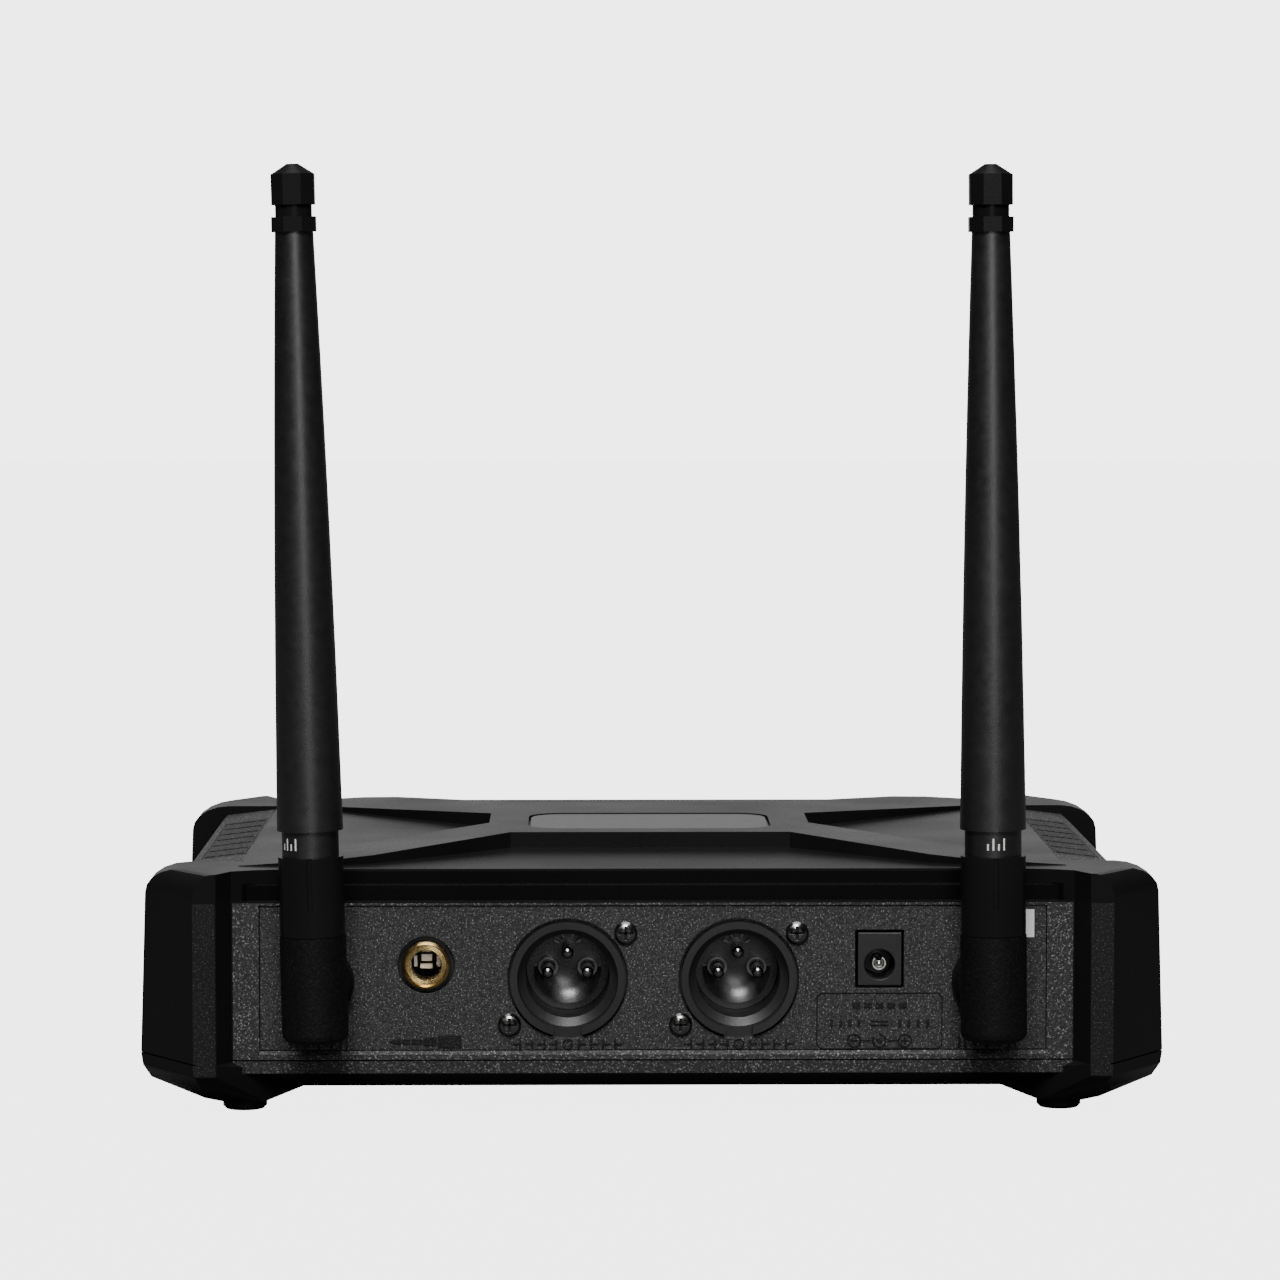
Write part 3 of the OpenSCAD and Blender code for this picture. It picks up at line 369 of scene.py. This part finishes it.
# Socket plastic lightened 34 times for the pin collars and petals: painted highlight where the cup's rim shades
# them
TRIM_PAINTED_LIGHT = satin("trim_painted_light", tone(COLOUR["socket_plastic"], 34), (0.2, 0.28), 1.0)
# Nickel darkened to 0.3 for the socket pins and screws: painted shade for the dark the metal reflects
NICKEL_PAINTED_DARK = metal("nickel_painted_dark", tone(COLOUR["nickel"], 0.3), 0.2)
CONTACT = metal("contact_nickel", tone(COLOUR["nickel"], 1.6), 0.42)
# Near-black metal for the screws' cross recesses: painted shade
RECESS_SHADE = metal("screw_recess_shade", (0.03, 0.03, 0.03), 0.5)
TRACE = gloss("display_bars", (0.25, 0.55, 0.75), 0.3, emission=0.6)
PRINT = paper("white_print", (0.78, 0.78, 0.76), 2500)


# ---- CAD nodes: materials and edge finish ----

WELD_GAP = 0.012 * MM
FLAT_ANGLE = 1.0


def dress(node, material, bevel=0.0, angle=30, segments=2):
    """Gives a CAD node its material and rounds its sharp edges with modifiers."""
    o = NODES[node]
    o.data.materials.clear()
    o.data.materials.append(material)
    if not bevel:
        return
    weld = o.modifiers.new("weld", "WELD")
    weld.merge_threshold = WELD_GAP
    planar = o.modifiers.new("planar", "DECIMATE")
    planar.decimate_type = "DISSOLVE"
    planar.angle_limit = math.radians(FLAT_ANGLE)
    edge = o.modifiers.new("edge", "BEVEL")
    edge.width = bevel
    edge.segments = segments
    edge.limit_method = "ANGLE"
    edge.angle_limit = math.radians(angle)
    edge.harden_normals = False
    edge.use_clamp_overlap = True
    edge.miter_outer = "MITER_ARC"
    shade = o.modifiers.new("shade", "WEIGHTED_NORMAL")
    shade.keep_sharp = False
    shade.weight = 60


for node_name, slot_name in SLOT_OF.items():
    dress(node_name, MATERIALS[slot_name])
dress("top_shell", SHELL_TOP, 0.0007, 24, 3)
dress("bottom_shell", SHELL_BASE, 0.0006, 24, 3)
dress("rear_panel", MATERIALS["textured_plastic"], 0.00018, 40, 2)
dress("lid_badge", MATERIALS["badge_grey"], 0.0003, 40, 2)
for k in "ab":
    dress("aerial_elbow_" + k, ELBOW)
    dress("aerial_collar_" + k, ELBOW)
    dress("aerial_clip_" + k, MATERIALS["black_steel"])
    dress("xlr_insert_" + k, INSERT)
    dress("xlr_pins_" + k, NICKEL_PAINTED_DARK)
dress("dc_socket", MATERIALS["socket_plastic"], 0.00025, 40, 2)
dress("vent_strips", VENT, 0.00015, 40, 2)
dress("xlr_screws", NICKEL_PAINTED_DARK)


# ---- mesh helpers for the added pieces ----

def add_piece(name, bm, material, body, bevel=0.0, segments=2, smooth=40):
    """Turns a bmesh into a piece that rides on a body."""
    mesh = bpy.data.meshes.new(name)
    bmesh.ops.remove_doubles(bm, verts=bm.verts, dist=1e-7)
    bmesh.ops.recalc_face_normals(bm, faces=bm.faces)
    bm.to_mesh(mesh)
    bm.free()
    o = bpy.data.objects.new(name, mesh)
    bpy.context.scene.collection.objects.link(o)
    mesh.materials.append(material)
    for face in mesh.polygons:
        face.use_smooth = True
    if bevel:
        edge = o.modifiers.new("edge", "BEVEL")
        edge.width = bevel
        edge.segments = segments
        edge.limit_method = "ANGLE"
        edge.angle_limit = math.radians(35)
    mesh.set_sharp_from_angle(angle=math.radians(smooth))
    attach(o, body)
    return o


def slab(bm, outline, y0, y1):
    """Extrudes an outline drawn as (x, z) from y0 to y1."""
    rings = [[bm.verts.new((x, y, z)) for x, z in outline] for y in (y0, y1)]
    n = len(outline)
    bm.faces.new(rings[0])
    bm.faces.new(reversed(rings[1]))
    for i in range(n):
        bm.faces.new((rings[0][i], rings[1][i], rings[1][(i + 1) % n], rings[0][(i + 1) % n]))


def rectangle(x0, x1, z0, z1):
    return [(x0, z0), (x1, z0), (x1, z1), (x0, z1)]


def circle(cx, cz, r, n=32, start=0.0, sweep=360.0):
    """Points of a circle, or of an arc, that starts from the top."""
    closed = abs(sweep) >= 360
    steps = n if closed else n + 1
    return [(cx + r * math.sin(math.radians(start + sweep * i / n)),
             cz + r * math.cos(math.radians(start + sweep * i / n))) for i in range(steps)]


def arc_band(bm, cx, cz, r0, r1, y0, y1, start=0.0, sweep=360.0, n=32):
    """A flat ring, or part of one, standing between y0 and y1."""
    closed = abs(sweep) >= 360
    grid = [[bm.verts.new((x, y, z)) for x, z in circle(cx, cz, r, n, start, sweep)]
            for r, y in ((r0, y0), (r1, y0), (r1, y1), (r0, y1))]
    count = len(grid[0])
    for i in range(count if closed else count - 1):
        j = (i + 1) % count
        for a in range(4):
            b = (a + 1) % 4
            bm.faces.new((grid[a][i], grid[b][i], grid[b][j], grid[a][j]))
    if not closed:
        bm.faces.new([ring[0] for ring in grid])
        bm.faces.new([ring[-1] for ring in reversed(grid)])


def stroke(bm, a, b, width, y0, y1):
    """A straight bar with square ends between two points in the panel plane."""
    (ax, az), (bx, bz) = a, b
    length = math.hypot(bx - ax, bz - az)
    ux, uz = (bx - ax) / length, (bz - az) / length
    nx, nz = -uz * width / 2, ux * width / 2
    slab(bm, [(ax - nx, az - nz), (bx - nx, bz - nz), (bx + nx, bz + nz), (ax + nx, az + nz)], y0, y1)


# ---- rear panel: raised generic marks ----

panel_lo, panel_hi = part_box("rear_panel")
FACE = panel_hi.y
PROUD = 0.3 * MM
SUNK = 0.2 * MM
MARK_Z = panel_hi.z - 28.4 * MM


def mark(name, draw):
    """One raised sign on the rear panel; draw takes a bmesh and its two depths."""
    bm = bmesh.new()
    draw(bm, FACE - SUNK, FACE + PROUD)
    return add_piece(name, bm, MARK, "housing", 0.00008, 1)


def aerial_mark(cx):
    """A mast with two pairs of waves."""
    def draw(bm, y0, y1):
        z = MARK_Z
        stroke(bm, (cx, z - 1.4 * MM), (cx, z + 0.5 * MM), 0.45 * MM, y0, y1)
        slab(bm, circle(cx, z + 0.75 * MM, 0.55 * MM, 16), y0, y1)
        for side in (90, 270):
            for r in (1.6, 2.8):
                arc_band(bm, cx, z + 0.75 * MM, r * MM, (r + 0.45) * MM, y0, y1, side - 38, 76, 10)
        for k in (-1, 1):
            for i in range(2):
                x = cx + k * (4.6 + 1.2 * i) * MM
                stroke(bm, (x, z - 1.2 * MM), (x, z + (0.4 + 0.7 * i) * MM), 0.5 * MM, y0, y1)
    return draw


def jack_mark(cx):
    """A jack plug seen from the side."""
    def draw(bm, y0, y1):
        z = MARK_Z + 0.2 * MM
        pieces = ((-7.2, -2.4, 2.6), (-2.1, 0.6, 1.7), (0.9, 3.1, 1.1), (3.4, 5.0, 1.1))
        for a, b, h in pieces:
            stroke(bm, (cx + a * MM, z), (cx + b * MM, z), h * MM, y0, y1)
        tip = ((5.3, -0.55), (6.6, -0.45), (7.6, 0), (6.6, 0.45), (5.3, 0.55))
        slab(bm, [(cx + x * MM, z + d * MM) for x, d in tip], y0, y1)
    return draw


def balanced_mark(cx):
    """A three-pin plug face between two bars."""
    def draw(bm, y0, y1):
        z = MARK_Z - 0.35 * MM
        arc_band(bm, cx, z, 0.85 * MM, 1.1 * MM, y0, y1, 0, 360, 28)
        for a in (0, 120, 240):
            x, d = circle(0, 0, 0.48 * MM, 3, a)[0]
            slab(bm, circle(cx + x, z + d, 0.2 * MM, 12), y0, y1)
        for k in (-1, 1):
            for i in range(4):
                x = cx + k * (2.3 + 2.5 * i) * MM
                stroke(bm, (x, z), (x + k * 1.5 * MM, z), 0.4 * MM, y0, y1)
                stroke(bm, (x, z - 0.95 * MM), (x, z + 0.95 * MM), 0.42 * MM, y0, y1)
    return draw


for k in "ab":
    mark(f"mark_aerial_{k}", aerial_mark(swivel_at[k].x))
    mark(f"mark_balanced_{k}", balanced_mark(out_at[k].x))
mark("mark_jack", jack_mark(jack_at.x))


def inlet_mark(bm, y0, y1):
    """A frame with two rows of bars and the polarity sign."""
    cx, z0, z1 = inlet_at.x, panel_lo.z + 0.25 * MM, panel_hi.z - 18.2 * MM
    w, r, t = 12.9 * MM, 1.2 * MM, 0.22 * MM
    for x in (-w, w):
        stroke(bm, (cx + x, z0 + r), (cx + x, z1 - r), t, y0, y1)
    for z in (z0, z1):
        stroke(bm, (cx - w + r, z), (cx + w - r, z), t, y0, y1)
    corners = ((w - r, z1 - r), (w - r, z0 + r), (-w + r, z0 + r), (-w + r, z1 - r))
    for i, (x, z) in enumerate(corners):
        arc_band(bm, cx + x, z, r - t / 2, r + t / 2, y0, y1, 90 * i, 90, 6)
    for i in range(5):
        x = cx + (i - 2) * 2.4 * MM
        stroke(bm, (x - 0.8 * MM, z1 - 2.6 * MM), (x + 0.8 * MM, z1 - 2.6 * MM), 1.2 * MM, y0, y1)
    for i in range(4):
        x = cx + (4.2 + 1.9 * i) * MM
        for k in (-1, 1):
            xx = cx + k * (x - cx)
            stroke(bm, (xx, z1 - 7.1 * MM), (xx, z1 - 5.5 * MM), 0.6 * MM, y0, y1)
    for z in (5.9, 6.7):
        stroke(bm, (cx - 1.9 * MM, z1 - z * MM), (cx + 1.9 * MM, z1 - z * MM), 0.3 * MM, y0, y1)
    z = panel_hi.z - 28.1 * MM
    for i in (-1, 0, 1):
        start, sweep = (60, 300) if i == 0 else (0, 360)
        arc_band(bm, cx + i * 5.25 * MM, z, 1.15 * MM, 1.5 * MM, y0, y1, start, sweep, 26)
    slab(bm, circle(cx, z, 0.6 * MM, 16), y0, y1)
    for i in (-1, 1):
        stroke(bm, (cx + i * 1.6 * MM, z), (cx + i * 3.7 * MM, z), 0.28 * MM, y0, y1)
        stroke(bm, (cx + i * 4.5 * MM, z), (cx + i * 6.0 * MM, z), 0.32 * MM, y0, y1)
    stroke(bm, (cx - 5.25 * MM, z - 0.75 * MM), (cx - 5.25 * MM, z + 0.75 * MM), 0.32 * MM, y0, y1)


mark("mark_inlet", inlet_mark)


# ---- sockets ----

BOWL_R = 7.0 * MM
PIN_GAP = 4.1 * MM
PIN_RISE = 0.75 * MM
COLLAR_HEIGHT = 1.8 * MM
SCREW_DX = 12 * MM
SCREW_DZ = 9.5 * MM


def bowl(bm, at, floor_y):
    """Hollow half-disc below the pins, its rim standing proud of the floor."""
    columns, rows = 36, 14
    reach = BOWL_R - 0.02 * MM
    front, back = [], []
    for i in range(columns + 1):
        x = reach * math.sin(math.pi * (i / columns - 0.5))
        low = -math.sqrt(BOWL_R ** 2 - x ** 2)
        line, base = [], []
        for j in range(rows + 1):
            z = PIN_RISE + (low - PIN_RISE) * j / rows
            rise = 0.25 * MM + 2.0 * MM * ((x * x + z * z) / BOWL_R ** 2) ** 1.3
            line.append(bm.verts.new((at.x + x, floor_y + rise, at.z + z)))
            base.append(bm.verts.new((at.x + x, floor_y - 0.1 * MM, at.z + z)))
        front.append(line)
        back.append(base)
    for i in range(columns):
        for j in range(rows):
            for grid in (front, back):
                bm.faces.new((grid[i][j], grid[i + 1][j], grid[i + 1][j + 1], grid[i][j + 1]))
    rim = [(i, 0) for i in range(columns)] + [(columns, j) for j in range(rows)]
    rim += [(i, rows) for i in range(columns, 0, -1)] + [(0, j) for j in range(rows, 0, -1)]
    for (i, j), (m, n) in zip(rim, rim[1:] + rim[:1]):
        bm.faces.new((front[i][j], front[m][n], back[m][n], back[i][j]))


def petal(bm, centre, angle, y0, y1):
    """A leaf that widens away from the top pin."""
    a = math.radians(angle)
    out, side = Vector((math.sin(a), math.cos(a))), Vector((math.cos(a), -math.sin(a)))
    ends = ((1.8, 0.2), (2.7, 0.45), (3.3, 0.3), (3.3, -0.3), (2.7, -0.45), (1.8, -0.2))
    slab(bm, [tuple(Vector(centre) + out * d * MM + side * w * MM) for d, w in ends], y0, y1)


def socket_details(k):
    """Bowl, petals and pin collars of one balanced socket, the petals and collars lightened as a painted
    highlight.
    """
    at = out_at[k]
    collar_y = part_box("xlr_insert_" + k)[1].y
    floor_y = collar_y - COLLAR_HEIGHT
    bm = bmesh.new()
    bowl(bm, at, floor_y)
    add_piece(f"socket_bowl_{k}", bm, INSERT, "housing", 0.0001, 2, 30)
    bm = bmesh.new()
    top_pin = (at.x, at.z + PIN_RISE + PIN_GAP)
    for angle in (-62, -24, 24, 62):
        petal(bm, top_pin, angle, floor_y + 0.9 * MM, floor_y + 2.6 * MM)
    y0, y1 = collar_y - 0.1 * MM, collar_y + 1.3 * MM
    for side in (-1, 1):
        arc_band(bm, at.x + side * PIN_GAP, at.z + PIN_RISE, 1.5 * MM, 2.12 * MM, y0, y1, 0, 360, 40)
    add_piece(f"socket_trim_{k}", bm, TRIM_PAINTED_LIGHT, "housing", 0.00018, 3, 30)


for k in "ab":
    socket_details(k)


def screw_crosses():
    """Dark bars at the bottoms of the cross recesses in the four socket screws: painted shade."""
    bm = bmesh.new()
    seat = FACE + 0.55 * MM
    for k in "ab":
        for s in (-1, 1):
            x, z = out_at[k].x - s * SCREW_DX, out_at[k].z + s * SCREW_DZ
            for dx, dz in ((1.45 * MM, 0), (0, 1.45 * MM)):
                stroke(bm, (x - dx, z - dz), (x + dx, z + dz), 0.6 * MM, seat, seat + 0.12 * MM)
    add_piece("screw_crosses", bm, RECESS_SHADE, "housing", 0.00004, 1)


screw_crosses()


def jack_contacts():
    """Bright tip and ring leaves that show through the jack's nose.

    Each leaf is its place across and up, its width and height, and its depth behind the middle of the
    nose's bore, in mm.
    """
    bm = bmesh.new()
    leaves = ((0.1, 0.5, 2.3, 1.5, 5.5), (0.2, -1.2, 2.6, 1.1, 5), (-2.4, 0.1, 0.9, 2.6, 4),
              (2.4, 0, 0.8, 2.4, 4), (0.1, 2.3, 2.2, 0.8, 4.5))
    for dx, dz, width, height, depth in leaves:
        x, z, y = jack_at.x + dx * MM, jack_at.z + dz * MM, jack_at.y - depth * MM
        w, h = width / 2 * MM, height / 2 * MM
        slab(bm, rectangle(x - w, x + w, z - h, z + h), y, y + 0.3 * MM)
    add_piece("jack_contacts", bm, CONTACT, "housing", 0.0001, 2)


jack_contacts()


def inlet_contact():
    """Split sleeve round the inlet's centre pin."""
    pin_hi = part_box("dc_pin")[1]
    x, z = inlet_at.x, inlet_at.z
    bm = bmesh.new()
    y0, y1 = pin_hi.y - 3.0 * MM, pin_hi.y - 0.6 * MM
    arc_band(bm, x, z, 1.15 * MM, 1.4 * MM, y0, y1, 40, 290, 36)
    add_piece("inlet_contact", bm, CONTACT, "housing", 0.00005, 2)


inlet_contact()


# ---- front: display, knob pointers and printed dots ----

front_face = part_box("front_panel")[0].y


def display_bars():
    """Two level meters behind the window, one for each channel."""
    low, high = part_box("display_window")
    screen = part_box("display_module")[0].y
    y0, y1 = screen - 0.16 * MM, screen + 0.05 * MM
    bm = bmesh.new()
    for side in (-1, 1):
        for i in range(9):
            x = side * (5.5 + 2.6 * i) * MM
            z = low.z + 4.5 * MM
            slab(bm, rectangle(x - 0.8 * MM, x + 0.8 * MM, z, z + (1.5 + i) * MM), y0, y1)
    stroke(bm, (0, low.z + 3.5 * MM), (0, high.z - 3.5 * MM), 0.3 * MM, y0, y1)
    add_piece("display_bars", bm, TRACE, "housing")


def knob_print(k):
    """Pointer let into the knob's face and a ring of dots on the panel round it."""
    low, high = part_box("volume_knob_" + k)
    x, z, r = (low.x + high.x) / 2, (low.z + high.z) / 2, (high.x - low.x) / 2
    bm = bmesh.new()
    stroke(bm, (x, z + 1.7 * MM), (x, z + r - 0.9 * MM), 0.8 * MM, low.y + 0.12 * MM, low.y + 0.48 * MM)
    add_piece("pointer_" + k, bm, PRINT, "knob_" + k)
    bm = bmesh.new()
    for i in range(10):
        dot_x, dot_z = circle(x, z, r + 2.6 * MM, 1, -135 + 30 * i)[0]
        dot = circle(dot_x, dot_z, (0.3 + 0.04 * i) * MM, 14)
        slab(bm, dot, front_face - 0.06 * MM, front_face + 0.1 * MM)
    add_piece("dots_" + k, bm, PRINT, "housing")


display_bars()
for k in "ab":
    knob_print(k)


# ---- aerials: printed ticks on the necks ----

# Where the row of ticks starts round each neck, in degrees from the rear, and the faces of one tick
TICK_START = {"a": -17.6, "b": 28}
TICK_QUADS = ((0, 2, 4, 6), (1, 3, 5, 7), (0, 1, 3, 2), (2, 3, 5, 4), (4, 5, 7, 6), (6, 7, 1, 0))


def neck_print(k):
    """A row of short generic ticks printed round the neck, like a band scale."""
    at = swivel_at[k]
    low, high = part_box(f"aerial_tip_{k}")
    top = (low + high) / 2
    lean = math.atan2(top.x - at.x, top.z - at.z)
    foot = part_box(f"aerial_sleeve_{k}")[1].z - at.z + 1.5 * MM
    neck_r = 5.75 * MM
    half = -0.03  # radians, half of a tick's width
    bm = bmesh.new()
    for i in range(4):
        angle = math.radians(TICK_START[k] + i * 11)
        head = foot + (2.4 if i % 2 == 0 else 1.3) * MM
        tick = []
        for d, z in ((half, foot), (-half, foot), (-half, head), (half, head)):
            for r in (neck_r - 0.05 * MM, neck_r + 0.03 * MM):
                tick.append(bm.verts.new((r * math.sin(angle + d), r * math.cos(angle + d), z)))
        for quad in TICK_QUADS:
            bm.faces.new([tick[q] for q in quad])
    place = Matrix.Translation(at) @ Matrix.Rotation(lean, 4, "Y")
    bmesh.ops.transform(bm, verts=bm.verts, matrix=place)
    add_piece(f"neck_print_{k}", bm, PRINT, f"aerial_{k}")


for k in "ab":
    neck_print(k)


# ---- stage, light and camera ----

# Lamps in watts and the sun's strength
KEY_POWER = 37
FILL_POWER = 2.2
TOP_SUN = 3.2
# The world's strength all round, beyond the object's front, and as the camera sees it
DIM_SKY = 0.02
BACK_SKY = 0.6
SEEN_SKY = 4.2
FLOOR_GLOW = 3.9
FLOOR_R = 4.5


def floor_paper():
    """Pale floor: bright to the camera, but it throws little light back on the dark object."""
    s = Shader("floor_paper")
    rays = s.node("ShaderNodeLightPath")
    s.set(Base_Color=(0.1, 0.1, 0.1, 1), Roughness=0.9, Specular_IOR_Level=0.0, Emission_Color=(1, 1, 1, 1),
          Emission_Strength=s.math("MULTIPLY", rays.outputs["Is Camera Ray"], FLOOR_GLOW))
    return s.mat


def round_floor():
    """A large pale round floor, on the stage only."""
    bm = bmesh.new()
    rim = [bm.verts.new((x, y, 0)) for x, y in circle(0, 0, FLOOR_R, 96)]
    bm.faces.new(reversed(rim))
    mesh = bpy.data.meshes.new("floor")
    bm.to_mesh(mesh)
    bm.free()
    o = bpy.data.objects.new("floor", mesh)
    bpy.context.scene.collection.objects.link(o)
    mesh.materials.append(floor_paper())


def area_light(name, at, aim, size, power):
    """A rectangular lamp at one point that looks at another."""
    data = bpy.data.lights.new(name, "AREA")
    data.shape = "RECTANGLE"
    data.size, data.size_y = size
    data.energy = power
    o = bpy.data.objects.new(name, data)
    o.location = at
    o.rotation_mode = "QUATERNION"
    o.rotation_quaternion = (Vector(aim) - Vector(at)).to_track_quat("-Z", "Y")
    bpy.context.scene.collection.objects.link(o)


def soft_sun():
    """A wide sun straight above, like a large ceiling panel."""
    sun = bpy.data.objects.new("overhead", bpy.data.lights.new("overhead", "SUN"))
    sun.data.energy = TOP_SUN
    sun.data.angle = math.radians(50)
    bpy.context.scene.collection.objects.link(sun)


def studio_world():
    """White room: dim round the object, lighter beyond its front, and bright to the camera only."""
    world = bpy.data.worlds.new("studio")
    world.use_nodes = True
    tree = world.node_tree
    background = tree.nodes["Background"]
    background.inputs["Color"].default_value = (1, 1, 1, 1)
    direction = tree.nodes.new("ShaderNodeTexCoord")
    split = tree.nodes.new("ShaderNodeSeparateXYZ")
    tree.links.new(direction.outputs["Generated"], split.inputs[0])
    glow = tree.nodes.new("ShaderNodeMapRange")
    glow.interpolation_type = "SMOOTHSTEP"
    edges = {"From Min": -0.78, "From Max": -0.97, "To Min": DIM_SKY, "To Max": BACK_SKY}
    for key, number in edges.items():
        glow.inputs[key].default_value = number
    tree.links.new(split.outputs["Y"], glow.inputs["Value"])
    rays = tree.nodes.new("ShaderNodeLightPath")
    seen = tree.nodes.new("ShaderNodeMix")
    tree.links.new(rays.outputs["Is Camera Ray"], seen.inputs["Factor"])
    tree.links.new(glow.outputs["Result"], seen.inputs["A"])
    seen.inputs["B"].default_value = SEEN_SKY
    tree.links.new(seen.outputs["Result"], background.inputs["Strength"])
    bpy.context.scene.world = world


round_floor()
area_light("key", (0.1, 1.5, 1.25), (0, 0, 0.06), (0.6, 0.5), KEY_POWER)
area_light("fill", (-0.12, 1.3, 0.32), (0, 0, 0.03), (0.3, 0.4), FILL_POWER)
soft_sun()
studio_world()

# Camera behind the object, at the photograph's angle
YAW = math.radians(-0.706)
PITCH = math.radians(3.897)
LENS_MM = 131.55
camera = bpy.data.objects.new("camera", bpy.data.cameras.new("camera"))
bpy.context.scene.collection.objects.link(camera)
camera.location = (0.014525, 1.0312, 0.16413)
level = math.cos(PITCH)
forward = Vector((math.sin(YAW) * level, -math.cos(YAW) * level, -math.sin(PITCH)))
camera.rotation_mode = "QUATERNION"
camera.rotation_quaternion = forward.to_track_quat("-Z", "Y")
camera.data.sensor_width = 36
camera.data.lens = LENS_MM
camera.data.clip_start = 0.01
camera.data.clip_end = 50
bpy.context.scene.camera = camera
